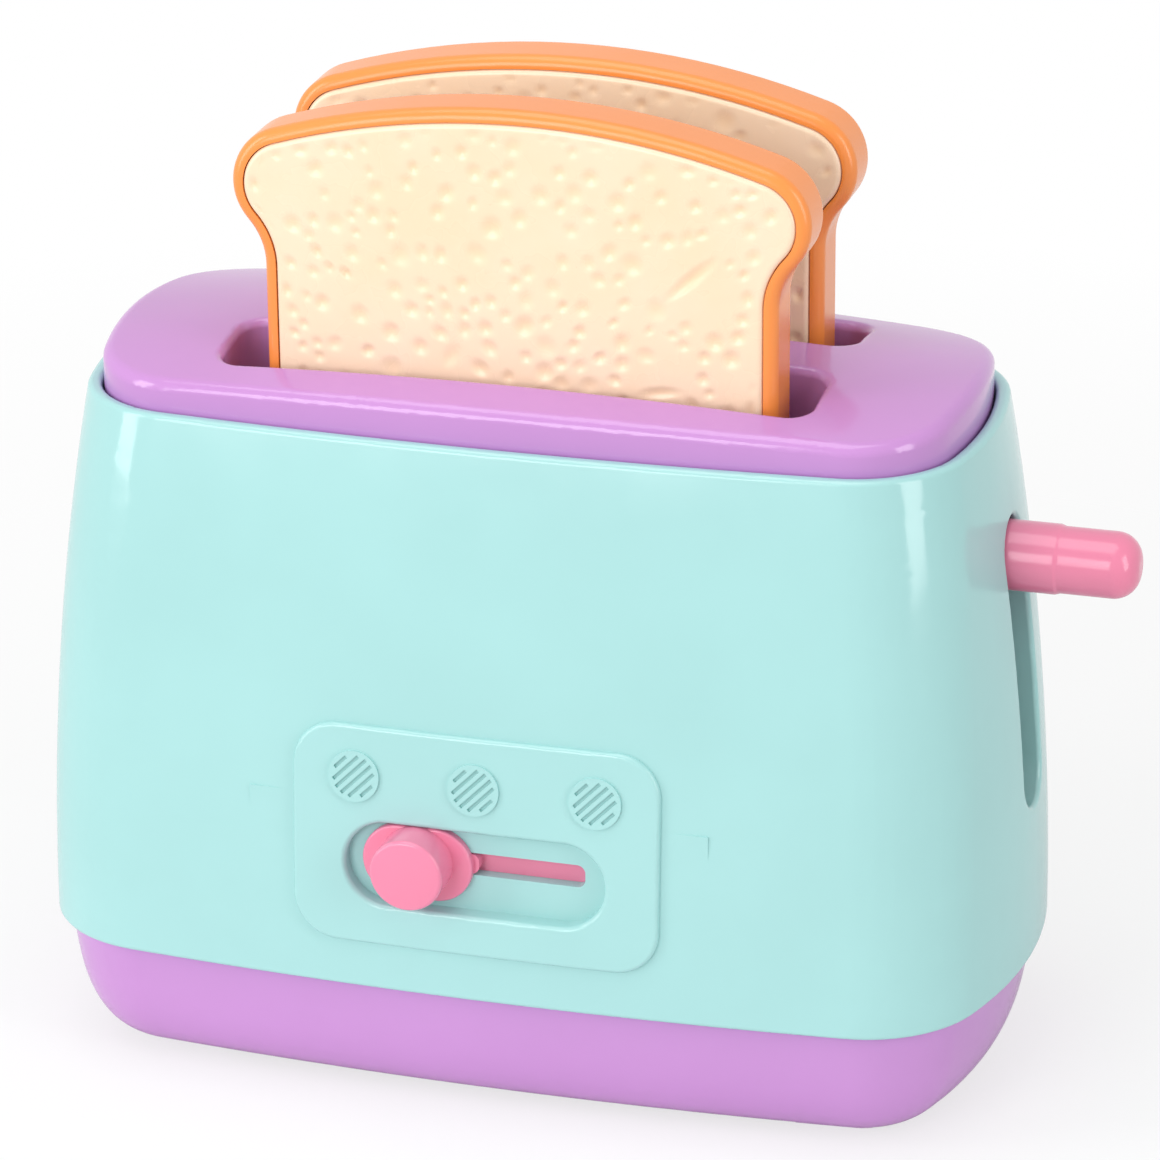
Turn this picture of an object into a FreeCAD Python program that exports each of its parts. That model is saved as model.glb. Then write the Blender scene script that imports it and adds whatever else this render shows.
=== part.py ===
# Toy pop-up toaster: a moulded shell on a base tray, a slotted cover, a spring-returned bread
# carriage with a side lever, a latch slider on the front, and two slices of play toast.
# The origin is the middle of the base's flat underside, +X points to the lever, -Y is the front.
import FreeCAD
import Part
import Sketcher

import math
import os
import re

SIZES = [
    ("shell_length", 180, "shell, end to end at its lower edge"),
    ("shell_depth", 94.8, "shell, front to back at its lower edge"),
    ("front_bulge_radius", 738, "plan radius of the front and back"),
    ("end_bulge_radius", 89, "plan radius of the two ends"),
    ("shell_corner_radius", 22.6, "plan radius of the corners at the lower edge"),
    ("shell_bottom", 23, "height of the shell's lower edge"),
    ("shell_top", 122, "height of the shell's rim"),
    ("shell_wall", 2.6, "shell wall"),
    ("end_lean", 9.1, "how far each end has leaned in at the rim"),
    ("front_lean", 10.65, "how far front and back have leaned in at the rim"),
    ("corner_lean", 1.7, "how much smaller the corner radius is at the rim"),
    ("lean_power", 1.95, "how late the lean sets in, 1 is a straight side"),
    ("rim_width", 2.5, "rim around the cover"),
    ("rim_round", 1.1, "rounding of the rim's two edges"),
    ("cover_gap", 0.3, "gap between the rim and the cover"),
    ("cover_rise", 10.5, "crown of the cover above the rim"),
    ("cover_plug", 8.4, "depth of the cover below the rim"),
    ("cover_round", 2.5, "rounding of the cover's upper edge"),
    ("cover_wall", 2.6, "wall of the cover's plug"),
    ("crown_length_radius", 1080, "radius of the crowned top from end to end"),
    ("crown_depth_radius", 135, "radius of the crowned top from front to back"),
    ("roof_thickness", 7, "from the crown down to the underside of the cover's roof"),
    ("ledge_thickness", 2, "ledge inside the shell that carries the cover"),
    ("ledge_room", 2.6, "room between the ledge and what passes through it"),
    ("slice_pitch", 32, "distance between the two slices"),
    ("slice_thickness", 11, "thickness of a slice's crust"),
    ("slice_foot_width", 91.6, "width of a slice below its ears"),
    ("slice_ear_width", 102.8, "width of a slice at its ears"),
    ("slice_ear_radius", 10.3, "outline radius of an ear"),
    ("slice_ear_height", 84.2, "middle of an ear above the slice's bottom"),
    ("slice_neck_radius", 11.7, "hollow below an ear"),
    ("slice_foot_radius", 7.3, "outline radius of the bottom corners"),
    ("slice_crown_radius", 145.3, "outline radius of the slice's top"),
    ("slice_shift", 1.2, "how far the slices stand towards the lever"),
    ("slice_lift", 60, "how far a slice lifts to come clear of the cover"),
    ("crust_rim", 2.3, "width of the crust around a crumb panel"),
    ("crust_round", 2.0, "rounding of the crust's edges"),
    ("crumb_seat", 2.0, "depth of the seat for a crumb panel"),
    ("crumb_shelf", 1.6, "width of the shelf behind a crumb panel"),
    ("crumb_proud", 0.3, "how far a crumb panel stands out of the crust"),
    ("crumb_gap", 0.1, "gap around a crumb panel"),
    ("crumb_round", 1.0, "rounding of a crumb panel's edge"),
    ("slot_pitch", 30.6, "distance between the middles of the two bread slots"),
    ("slot_width", 16.8, "bread slots, front to back"),
    ("slot_end_room", 0.4, "least room at a slice's ears in its slot"),
    ("slot_corner_radius", 4.5, "plan radius of the slot's corners"),
    ("slot_lip", 1.6, "rounding of the slot's edge"),
    ("chute_depth", 34.5, "chutes below the crown"),
    ("chute_wall", 1.6, "wall of the chutes"),
    ("tray_inset", 2.3, "step from the shell's lower edge to the tray"),
    ("tray_toe_inset", 12, "the same at the tray's flat underside"),
    ("tray_wall", 2.4, "wall and floor of the tray"),
    ("tray_lip", 6, "height of the tray's lip inside the shell"),
    ("tray_lip_gap", 0.3, "gap between the lip and the shell"),
    ("foot_height", 2, "moulded foot pads"),
    ("foot_inset", 15.5, "foot pads' outer edge from the shell's lower edge"),
    ("foot_length", 21, "foot pads, along the front"),
    ("foot_width", 15, "foot pads, along the end"),
    ("post_end_inset", 23, "screw posts from the shell's ends"),
    ("post_front_inset", 22.4, "screw posts from the shell's front and back"),
    ("post_radius", 4, "screw posts under the ledge"),
    ("post_seat", 12, "height at which the posts stand on the tray's bosses"),
    ("boss_radius", 4.6, "the tray's screw bosses"),
    ("screw_radius", 1.4, "housing screws"),
    ("screw_gap", 0.25, "screws in their clearance holes"),
    ("thread_gap", 0.05, "screws in the holes they bite into"),
    ("screw_head_radius", 2.9, "heads of the housing screws"),
    ("screw_head_height", 1.9, "heads of the housing screws"),
    ("screw_length", 12, "base screws under their heads"),
    ("cover_screw_length", 8, "cover screws under their heads"),
    ("cover_boss_radius", 3.4, "screw bosses under the cover"),
    ("cover_boss_spacing", 20, "the two cover screws of one end"),
    ("rod_end_room", 5, "guide rods beyond the slots' ends"),
    ("rod_radius", 2.5, "guide rods"),
    ("rod_fit", 0.05, "running gap of the sleeves on the rods"),
    ("rod_seat_depth", 12, "how deep the rods stand in the cover's sockets"),
    ("socket_depth", 24.9, "cover's rod sockets below the crown"),
    ("socket_radius", 4.5, "rod sockets and carriage sleeves"),
    ("stop_gap", 0.3, "gap at the carriage's top stop"),
    ("spring_seat", 8, "height of the tray's rod sockets, where the springs stand"),
    ("spring_radius", 3.8, "mean radius of the return springs"),
    ("spring_wire_radius", 0.5, "wire of the return springs"),
    ("spring_turns", 11, "turns of a return spring"),
    ("shelf_height", 77, "top of the carriage's shelf, where the slices stand"),
    ("shelf_thickness", 2, "carriage's shelf"),
    ("trough_gap", 0.45, "gap between a slice and its trough"),
    ("trough_wall", 1, "walls of the troughs"),
    ("trough_height", 7, "walls of the troughs above the shelf"),
    ("sleeve_drop", 5, "carriage sleeves below the shelf's top"),
    ("rib_height", 6, "ribs of the carriage"),
    ("rib_thickness", 2, "ribs of the carriage"),
    ("lever_rise", 21, "lever's middle above the shelf"),
    ("lever_travel", 40, "how far the lever and carriage go down"),
    ("lever_radius", 5.9, "lever"),
    ("lever_collar_radius", 6.2, "thicker root of the lever"),
    ("lever_reach", 16.6, "lever beyond the shell's end"),
    ("lever_tip_round", 4.6, "rounding of the lever's tip"),
    ("lever_gap", 0.6, "lever in the ends of its slot"),
    ("lever_side_gap", 0.4, "lever between the sides of its slot"),
    ("lever_plate_width", 20, "lever's mounting plate"),
    ("lever_plate_height", 14, "lever's mounting plate"),
    ("lever_plate_thickness", 4, "lever's plate and the carriage's arm"),
    ("lever_screw_spacing", 14.8, "the lever's two screws"),
    ("slot_collar_wall", 1.8, "turned-in collar around the lever's slot"),
    ("slot_collar_depth", 6, "depth of that collar"),
    ("slot_lip_round", 0.9, "rounding of the lever slot's outer edge"),
    ("panel_width", 66.4, "raised panel on the front"),
    ("panel_height", 40.4, "raised panel on the front"),
    ("panel_middle", 52.3, "height of the panel's middle"),
    ("panel_corner_radius", 8, "raised panel's corners"),
    ("panel_raise", 1, "how far the panel stands out"),
    ("panel_round", 0.8, "rounding of the panel's edge"),
    ("recess_length", 47, "slider's recess"),
    ("recess_height", 15.4, "slider's recess"),
    ("recess_drop", 4.9, "recess below the panel's middle"),
    ("recess_floor", 2.6, "recess floor behind the shell's foremost point"),
    ("recess_round", 0.9, "rounding of the recess's edge"),
    ("slider_wall", 2.2, "wall between the recess and the slide plate"),
    ("slider_slot_length", 39, "slot behind the slider"),
    ("slider_slot_height", 4.2, "slot behind the slider"),
    ("slider_slot_rise", 1.1, "slot above the recess's middle"),
    ("slider_slot_radius", 1.5, "slot's corners"),
    ("slider_travel", 19, "how far the slider goes"),
    ("slider_gap", 0.1, "slider's play on the wall"),
    ("slider_side_gap", 0.25, "slider's play in its slot and guides"),
    ("stem_offset", 1.1, "knob's middle to the left of its stem's middle"),
    ("flange_length", 20, "slider's flange"),
    ("flange_height", 13.8, "slider's flange"),
    ("flange_thickness", 1.5, "slider's flange"),
    ("knob_radius", 6.6, "slider's knob"),
    ("knob_length", 6.6, "slider's knob in front of its flange"),
    ("knob_dome", 0.7, "crown of the knob's face"),
    ("knob_round", 0.8, "rounding of the knob's rim"),
    ("plate_height", 17, "slide plate"),
    ("plate_thickness", 1.8, "slide plate"),
    ("plate_overlap", 2, "slide plate beyond the ends of the slot"),
    ("rail_width", 1.6, "guide rails above and below the plate"),
    ("small_screw_radius", 1.1, "screws of the lever and the slider"),
    ("small_head_radius", 2.1, "their heads"),
    ("small_head_height", 1.5, "their heads"),
    ("small_screw_length", 7, "under their heads"),
    ("small_boss_radius", 1.3, "holes for the small screws"),
    ("dial_radius", 4.65, "raised dial marks on the panel"),
    ("dial_rim", 0.65, "rim of a dial mark"),
    ("dial_raise", 0.45, "how far a dial mark stands out"),
    ("dial_pitch", 21.8, "distance between dial marks"),
    ("dial_rise", 11.1, "dial marks above the panel's middle"),
    ("dial_groove", 0.62, "width of a groove in a dial mark"),
    ("dial_groove_pitch", 1.36, "distance between those grooves"),
    ("catch_middle", -30, "catch along the front"),
    ("catch_width", 6, "catch leaf"),
    ("catch_thickness", 0.8, "catch leaf"),
    ("catch_reach", 4, "tooth of the catch leaf"),
    ("catch_tooth_height", 3.1, "tooth of the catch leaf"),
    ("catch_stand", 7.6, "catch leaf in front of the troughs"),
    ("catch_gap", 0.3, "gap between the tooth and the ledge that holds it"),
    ("catch_ledge_length", 14, "ledge on the slide plate"),
    ("catch_ledge_height", 2.5, "ledge on the slide plate"),
    ("rivet_radius", 1.2, "rivet of the catch leaf"),
    ("rivet_head_radius", 2.2, "its heads"),
    ("rivet_head_height", 0.7, "its heads"),
]

Vector = FreeCAD.Vector
Rotation = FreeCAD.Rotation
Placement = FreeCAD.Placement
Constraint = Sketcher.Constraint

doc = FreeCAD.newDocument("toy_toaster")
sheet = doc.addObject("Spreadsheet::Sheet", "sizes")
for row, (alias, number, meaning) in enumerate(SIZES, start=1):
    sheet.set(f"A{row}", meaning)
    sheet.set(f"B{row}", str(number))
    sheet.setAlias(f"B{row}", alias)
doc.recompute()

ALIASES = {alias for alias, number, meaning in SIZES}


def formula(text):
    """The text with each size named by its alias turned into an expression on the sheet."""
    return re.sub(r"[a-z_]+", lambda m: "sizes." + m[0] if m[0] in ALIASES else m[0], str(text))


def value(text):
    return float(sheet.evalExpression(formula(text)))


def bind(item, field, text):
    item.setExpression(field, formula(text))


# Heights and places that follow from the driving sizes, as formulas.
crown = "(shell_top + cover_rise)"
ledge_top = "(shell_top - cover_plug)"
ledge_bottom = f"({ledge_top} - ledge_thickness)"
roof = f"({crown} - roof_thickness)"
chute_bottom = f"({crown} - chute_depth)"
slot_length = "(slice_ear_width + 2 * slice_shift + 2 * slot_end_room)"
rod_x = f"({slot_length} / 2 + rod_end_room)"
rod_top = f"({crown} - socket_depth + rod_seat_depth)"
socket_bottom = f"({crown} - socket_depth)"
post_x = "(shell_length / 2 - post_end_inset)"
post_y = "(shell_depth / 2 - post_front_inset)"
ledge_half_length = f"({rod_x} + socket_radius + ledge_room)"
ledge_half_depth = "((slot_pitch + slot_width) / 2 + chute_wall + ledge_room)"
cover_boss_x = f"({ledge_half_length} + 2 * cover_boss_radius - 0.4)"
lever_height = "(shelf_height + lever_rise)"
lever_slot_half_width = "(lever_collar_radius + lever_side_gap)"
lever_slot_top = f"({lever_height} + lever_collar_radius + lever_gap)"
lever_slot_bottom = f"({lever_height} - lever_travel - lever_collar_radius - lever_gap)"
arm_x = f"({rod_x} + socket_radius - 0.5)"
lever_root = f"({arm_x} + lever_plate_thickness)"
shelf_bottom = "(shelf_height - shelf_thickness)"
sleeve_bottom = "(shelf_height - sleeve_drop)"
trough_half = "(slice_thickness / 2 + crumb_proud + trough_gap)"
trough_front = f"(slice_pitch / 2 + {trough_half} + trough_wall)"
recess_middle = "(panel_middle - recess_drop)"
slider_middle = f"({recess_middle} + slider_slot_rise)"
floor_y = "(recess_floor - shell_depth / 2)"
plate_front = f"({floor_y} + slider_wall + slider_gap)"
plate_back = f"({plate_front} + plate_thickness)"
stem_length = "(slider_slot_length - slider_travel - 2 * slider_side_gap)"
stem_middle = f"(slider_side_gap - slider_slot_length / 2 + {stem_length} / 2)"
knob_middle = f"({stem_middle} - stem_offset)"
plate_left = "(-slider_slot_length / 2 - slider_travel - plate_overlap)"
plate_right = "(slider_slot_length / 2 + plate_overlap)"
ledge_low = f"({slider_middle} - catch_ledge_height / 2)"
tooth_top = f"({ledge_low} - catch_gap + lever_travel)"
leaf_y = f"(-{trough_front} - catch_stand)"
rivet_y = f"({leaf_y} + catch_thickness + rivet_head_radius + 0.8)"


def placed(item, x=None, y=None, z=None):
    """Tie the item's position to the sheet."""
    for axis, text in (("x", x), ("y", y), ("z", z)):
        if text is not None:
            bind(item, f"Placement.Base.{axis}", text)
    return item


def box(name, x, y, z):
    """A block between two formulas on each axis."""
    item = doc.addObject("Part::Box", name)
    for field, (low, high) in (("Length", x), ("Width", y), ("Height", z)):
        bind(item, field, f"({high}) - ({low})")
    return placed(item, x[0], y[0], z[0])


def cylinder(name, radius, x, y, z):
    """An upright round between the two heights in z."""
    item = doc.addObject("Part::Cylinder", name)
    bind(item, "Radius", radius)
    bind(item, "Height", f"({z[1]}) - ({z[0]})")
    return placed(item, x, y, z[0])


def fuse(name, parts):
    item = doc.addObject("Part::MultiFuse", name)
    item.Shapes = parts
    return item


def common(name, first, second):
    item = doc.addObject("Part::Common", name)
    item.Base = first
    item.Tool = second
    return item


def cut(name, base, tools):
    item = doc.addObject("Part::Cut", name)
    item.Base = base
    item.Tool = tools[0] if len(tools) == 1 else fuse(f"{name}_tools", tools)
    return item


def compound(name, parts):
    item = doc.addObject("Part::Compound", name)
    item.Links = parts
    return item


def extrude(name, sketch, length):
    """A prism along the sketch's normal."""
    item = doc.addObject("Part::Extrusion", name)
    item.Base = sketch
    item.DirMode = "Normal"
    item.Solid = True
    bind(item, "LengthFwd", length)
    return item


def loft(name, sections):
    item = doc.addObject("Part::Loft", name)
    item.Sections = sections
    item.Solid = True
    item.Ruled = False
    return item


def round_edges(name, base, radius, wanted):
    """Fillet the base's edges whose middle point passes the test."""
    doc.recompute()
    item = doc.addObject("Part::Fillet", name)
    item.Base = base
    size = value(radius)
    picked = []
    for number, edge in enumerate(base.Shape.Edges, start=1):
        middle = edge.valueAt((edge.FirstParameter + edge.LastParameter) / 2)
        if wanted(middle):
            picked.append((number, size, size))
    item.Edges = picked
    return item


def touches(shape, limit=0.01):
    """A test for points on the surface of a shape."""
    skin = Part.Compound(shape.Faces)
    return lambda point: Part.Vertex(point).distToShape(skin)[0] < limit


def within(point, x=None, y=None, z=None):
    """Whether the point lies between the formulas given for its axes."""
    ranges = ((point.x, x), (point.y, y), (point.z, z))
    return all(span is None or value(span[0]) <= at <= value(span[1]) for at, span in ranges)


def add_named(sketch, name, constraint, text):
    """Add a dimension that follows the sheet."""
    sketch.renameConstraint(sketch.addConstraint(constraint), name)
    bind(sketch, f"Constraints.{name}", text)


def join_tangent(sketch, count):
    for index in range(count):
        sketch.addConstraint(Constraint("Tangent", index, 2, (index + 1) % count, 1))


def arc(centre, radius, start, end):
    """An arc that runs anticlockwise between two angles in radians."""
    circle = Part.Circle(Vector(centre[0], centre[1], 0), Vector(0, 0, 1), radius)
    return Part.ArcOfCircle(circle, start, end)


def line(start, end):
    return Part.LineSegment(Vector(start[0], start[1], 0), Vector(end[0], end[1], 0))


def free_sketch(name, x=None, y=None, z=None, turn=None):
    sketch = doc.addObject("Sketcher::SketchObject", name)
    if turn:
        sketch.Placement.Rotation = turn
    return placed(sketch, x, y, z)


FACING_FRONT = Rotation(Vector(1, 0, 0), 90)
FACING_LEVER = Rotation(Vector(0, 0, 1), Vector(0, 0, 1)) * Rotation(90, 0, 90)


def plan_outline(name, height, half_length, half_depth, grow="0", corner="shell_corner_radius"):
    """The housing's plan outline: four bulging sides with tangent corner arcs."""
    half_length = f"{half_length} + {grow}"
    half_depth = f"{half_depth} + {grow}"
    front_radius = f"front_bulge_radius + {grow}"
    end_radius = f"end_bulge_radius + {grow}"
    corner_radius = f"{corner} + {grow}"
    length, depth, front, end, turn = [
        value(text) for text in (half_length, half_depth, front_radius, end_radius, corner_radius)
    ]
    end_x = length - end
    front_y = depth - front
    apart = math.hypot(end_x, front_y)
    along = ((end - turn) ** 2 - (front - turn) ** 2 + apart**2) / (2 * apart)
    aside = math.sqrt((end - turn) ** 2 - along**2)
    corner_x = end_x - along * end_x / apart - aside * front_y / apart
    corner_y = along * front_y / apart - aside * end_x / apart
    low = math.atan2(corner_y, corner_x - end_x)
    high = math.atan2(corner_y - front_y, corner_x)
    half_turn = math.pi
    sketch = free_sketch(name, z=height)
    sketch.addGeometry(arc((end_x, 0), end, -low, low), False)
    sketch.addGeometry(arc((corner_x, corner_y), turn, low, high), False)
    sketch.addGeometry(arc((0, front_y), front, high, half_turn - high), False)
    sketch.addGeometry(arc((-corner_x, corner_y), turn, half_turn - high, half_turn - low), False)
    sketch.addGeometry(arc((-end_x, 0), end, half_turn - low, half_turn + low), False)
    sketch.addGeometry(arc((-corner_x, -corner_y), turn, half_turn + low, half_turn + high), False)
    sketch.addGeometry(arc((0, -front_y), front, half_turn + high, 2 * half_turn - high), False)
    sketch.addGeometry(arc((corner_x, -corner_y), turn, 2 * half_turn - high, 2 * half_turn - low), False)
    join_tangent(sketch, 8)
    sketch.addGeometry(Part.Point(Vector(length, 0, 0)), True)
    sketch.addGeometry(Part.Point(Vector(0, depth, 0)), True)
    sketch.addConstraint(
        [
            Constraint("PointOnObject", 0, 3, -1),
            Constraint("Symmetric", 0, 3, 4, 3, -1, 1),
            Constraint("PointOnObject", 2, 3, -2),
            Constraint("Symmetric", 2, 3, 6, 3, -1, 1),
            Constraint("Equal", 0, 4),
            Constraint("Equal", 2, 6),
            Constraint("Equal", 1, 3),
            Constraint("Equal", 3, 5),
            Constraint("Equal", 5, 7),
            Constraint("PointOnObject", 8, 1, 0),
            Constraint("PointOnObject", 8, 1, -1),
            Constraint("PointOnObject", 9, 1, 2),
            Constraint("PointOnObject", 9, 1, -2),
        ]
    )
    add_named(sketch, "half_length", Constraint("DistanceX", -1, 1, 8, 1, length), half_length)
    add_named(sketch, "half_depth", Constraint("DistanceY", -1, 1, 9, 1, depth), half_depth)
    add_named(sketch, "end_radius", Constraint("Radius", 0, end), end_radius)
    add_named(sketch, "corner_radius", Constraint("Radius", 1, turn), corner_radius)
    add_named(sketch, "front_radius", Constraint("Radius", 2, front), front_radius)
    return sketch


def lean_share(height):
    """How much of its full lean the shell has at a height."""
    climb = f"max(0; ({height}) - shell_bottom) / (shell_top - shell_bottom)"
    return f"pow({climb}; lean_power)"


def shell_blank(name, grow="0", low="shell_bottom", high="shell_top"):
    """The housing's leaning form as a solid, grown or shrunk by a wall."""
    sections = []
    for step in range(6):
        height = f"({low}) + {step / 5} * (({high}) - ({low}))"
        share = lean_share(height)
        sections.append(
            plan_outline(
                f"{name}_section_{step}",
                height,
                f"shell_length / 2 - end_lean * {share}",
                f"shell_depth / 2 - front_lean * {share}",
                grow,
                f"shell_corner_radius - corner_lean * {share}",
            )
        )
    return loft(name, sections)


def rounded_rectangle(sketch, middle, width, height, radius):
    """A rectangle with round corners around a middle given by two formulas."""
    half_width = f"({width}) / 2"
    half_height = f"({height}) / 2"
    centre_x, centre_y, wide, tall, turn = [
        value(text) for text in (middle[0], middle[1], half_width, half_height, radius)
    ]
    left, right = centre_x - wide, centre_x + wide
    low, high = centre_y - tall, centre_y + tall
    quarter = math.pi / 2
    sketch.addGeometry(line((left + turn, low), (right - turn, low)), False)
    sketch.addGeometry(arc((right - turn, low + turn), turn, -quarter, 0), False)
    sketch.addGeometry(line((right, low + turn), (right, high - turn)), False)
    sketch.addGeometry(arc((right - turn, high - turn), turn, 0, quarter), False)
    sketch.addGeometry(line((right - turn, high), (left + turn, high)), False)
    sketch.addGeometry(arc((left + turn, high - turn), turn, quarter, 2 * quarter), False)
    sketch.addGeometry(line((left, high - turn), (left, low + turn)), False)
    sketch.addGeometry(arc((left + turn, low + turn), turn, 2 * quarter, 3 * quarter), False)
    join_tangent(sketch, 8)
    sketch.addConstraint(
        [
            Constraint("Horizontal", 0),
            Constraint("Vertical", 2),
            Constraint("Horizontal", 4),
            Constraint("Vertical", 6),
            Constraint("Equal", 1, 3),
            Constraint("Equal", 3, 5),
            Constraint("Equal", 5, 7),
        ]
    )
    add_named(sketch, "right", Constraint("DistanceX", -1, 1, 2, 1, right), f"{middle[0]} + {half_width}")
    add_named(sketch, "left", Constraint("DistanceX", -1, 1, 6, 1, left), f"{middle[0]} - {half_width}")
    add_named(sketch, "low", Constraint("DistanceY", -1, 1, 0, 1, low), f"{middle[1]} - {half_height}")
    add_named(sketch, "high", Constraint("DistanceY", -1, 1, 4, 1, high), f"{middle[1]} + {half_height}")
    add_named(sketch, "corner", Constraint("Radius", 1, turn), radius)
    return sketch


def stadium(sketch, middle, length, height):
    """A slot outline with full round ends, lying along the sketch's first axis."""
    radius = f"({height}) / 2"
    reach = f"({length}) / 2 - {radius}"
    centre_x, centre_y, turn, out = [value(text) for text in (middle[0], middle[1], radius, reach)]
    quarter = math.pi / 2
    sketch.addGeometry(arc((centre_x + out, centre_y), turn, -quarter, quarter), False)
    sketch.addGeometry(line((centre_x + out, centre_y + turn), (centre_x - out, centre_y + turn)), False)
    sketch.addGeometry(arc((centre_x - out, centre_y), turn, quarter, 3 * quarter), False)
    sketch.addGeometry(line((centre_x - out, centre_y - turn), (centre_x + out, centre_y - turn)), False)
    join_tangent(sketch, 4)
    sketch.addConstraint([Constraint("Horizontal", 1), Constraint("Equal", 0, 2)])
    right = f"{middle[0]} + {reach}"
    left = f"{middle[0]} - ({reach})"
    add_named(sketch, "right", Constraint("DistanceX", -1, 1, 0, 3, centre_x + out), right)
    add_named(sketch, "left", Constraint("DistanceX", -1, 1, 2, 3, centre_x - out), left)
    add_named(sketch, "middle", Constraint("DistanceY", -1, 1, 0, 3, centre_y), middle[1])
    add_named(sketch, "radius", Constraint("Radius", 0, turn), radius)
    return sketch


def polygon(sketch, points):
    """A closed outline of straight lines whose corners are pairs of formulas."""
    corners = [(value(x), value(y)) for x, y in points]
    count = len(points)
    for index in range(count):
        sketch.addGeometry(line(corners[index], corners[(index + 1) % count]), False)
    for index in range(count):
        sketch.addConstraint(Constraint("Coincident", index, 2, (index + 1) % count, 1))
    for index, (x, y) in enumerate(points):
        at_x, at_y = corners[index]
        add_named(sketch, f"across_{index}", Constraint("DistanceX", -1, 1, index, 1, at_x), x)
        add_named(sketch, f"up_{index}", Constraint("DistanceY", -1, 1, index, 1, at_y), y)
    return sketch


def new_body(name, x=None, y=None, z=None):
    return placed(doc.addObject("PartDesign::Body", name), x, y, z)


def body_sketch(body, name, role):
    """A sketch on one of the body's own origin planes."""
    sketch = body.newObject("Sketcher::SketchObject", name)
    plane = next(item for item in body.Origin.OriginFeatures if item.Role == role)
    sketch.AttachmentSupport = [(plane, "")]
    sketch.MapMode = "FlatFace"
    return sketch


def pad(body, name, sketch, length, both_ways=False, reverse=False):
    item = body.newObject("PartDesign::Pad", name)
    item.Profile = sketch
    item.Midplane = both_ways
    item.Reversed = reverse
    bind(item, "Length", length)
    return item


def body_fillet(body, name, radius, wanted):
    """Fillet the edges of the body so far whose middle point passes the test."""
    doc.recompute()
    base = body.Tip
    names = []
    for number, edge in enumerate(base.Shape.Edges, start=1):
        middle = edge.valueAt((edge.FirstParameter + edge.LastParameter) / 2)
        if wanted(body.Placement.multVec(middle)):
            names.append(f"Edge{number}")
    item = body.newObject("PartDesign::Fillet", name)
    item.Base = (base, names)
    bind(item, "Radius", radius)
    return item


def mirrored_places(x, y):
    """The four places of a feature that repeats in every quarter of the plan."""
    return [(f"{a}({x})", f"{b}({y})") for a in ("-", "") for b in ("-", "")]


def screw_solid(radius, head_radius, head_height, length):
    """A pan-head screw along +Z, with the underside of its head at the origin."""
    tip = radius
    dome = Part.Arc(
        Vector(0, 0, -head_height),
        Vector(0.62 * head_radius, 0, -0.8 * head_height),
        Vector(head_radius, 0, -0.35 * head_height),
    )
    points = [
        (head_radius, -0.35 * head_height),
        (head_radius, 0),
        (radius, 0),
        (radius, length - tip),
        (0, length),
        (0, -head_height),
    ]
    edges = [dome.toShape()]
    for start, end in zip(points, points[1:]):
        edges.append(Part.makeLine(Vector(start[0], 0, start[1]), Vector(end[0], 0, end[1])))
    face = Part.Face(Part.Wire(edges))
    return face.revolve(Vector(0, 0, 0), Vector(0, 0, 1), 360)


def screw_group(name, sizes, places, turn=None):
    """One node of identical screws, each a solid of its own."""
    solid = screw_solid(*[value(text) for text in sizes])
    copies = []
    for place in places:
        copy = solid.copy()
        copy.Placement = Placement(Vector(*[value(text) for text in place]), turn or Rotation())
        copies.append(copy)
    item = doc.addObject("Part::Feature", name)
    item.Shape = Part.Compound(copies) if len(copies) > 1 else copies[0]
    return item


# Body shell


def lever_slot_prism(name, grow, start):
    """A prism through the lever end, as wide as the lever's slot and a given wall."""
    sketch = free_sketch(f"{name}_outline", x=start, turn=FACING_LEVER)
    middle = f"({lever_slot_top} + {lever_slot_bottom}) / 2"
    height = f"{lever_slot_top} - {lever_slot_bottom} + 2 * {grow}"
    width = f"2 * {lever_slot_half_width} + 2 * {grow}"
    rounded_rectangle(sketch, ("0", middle), width, height, f"{lever_slot_half_width} + {grow} - 0.2")
    return extrude(name, sketch, "shell_length / 2")


def front_prism(name, outline, start, length):
    """A prism that runs out of the front from a plane behind it."""
    sketch = free_sketch(f"{name}_outline", y=start, turn=FACING_FRONT)
    return extrude(name, outline(sketch), length)


def raised_panel(skin):
    """The panel's block, trimmed to a skin that runs parallel to the shell's front."""
    block = front_prism(
        "panel_block",
        lambda sketch: rounded_rectangle(
            sketch, ("0", "panel_middle"), "panel_width", "panel_height", "panel_corner_radius"
        ),
        "-shell_depth / 2 + front_lean",
        "2 * front_lean",
    )
    panel = common("panel_sharp", block, skin)
    doc.recompute()
    on_skin = touches(skin.Shape)
    inner = value("-shell_depth / 2 + front_lean")
    return round_edges("panel", panel, "panel_round", lambda point: point.y < inner - 0.1 and on_skin(point))


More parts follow.
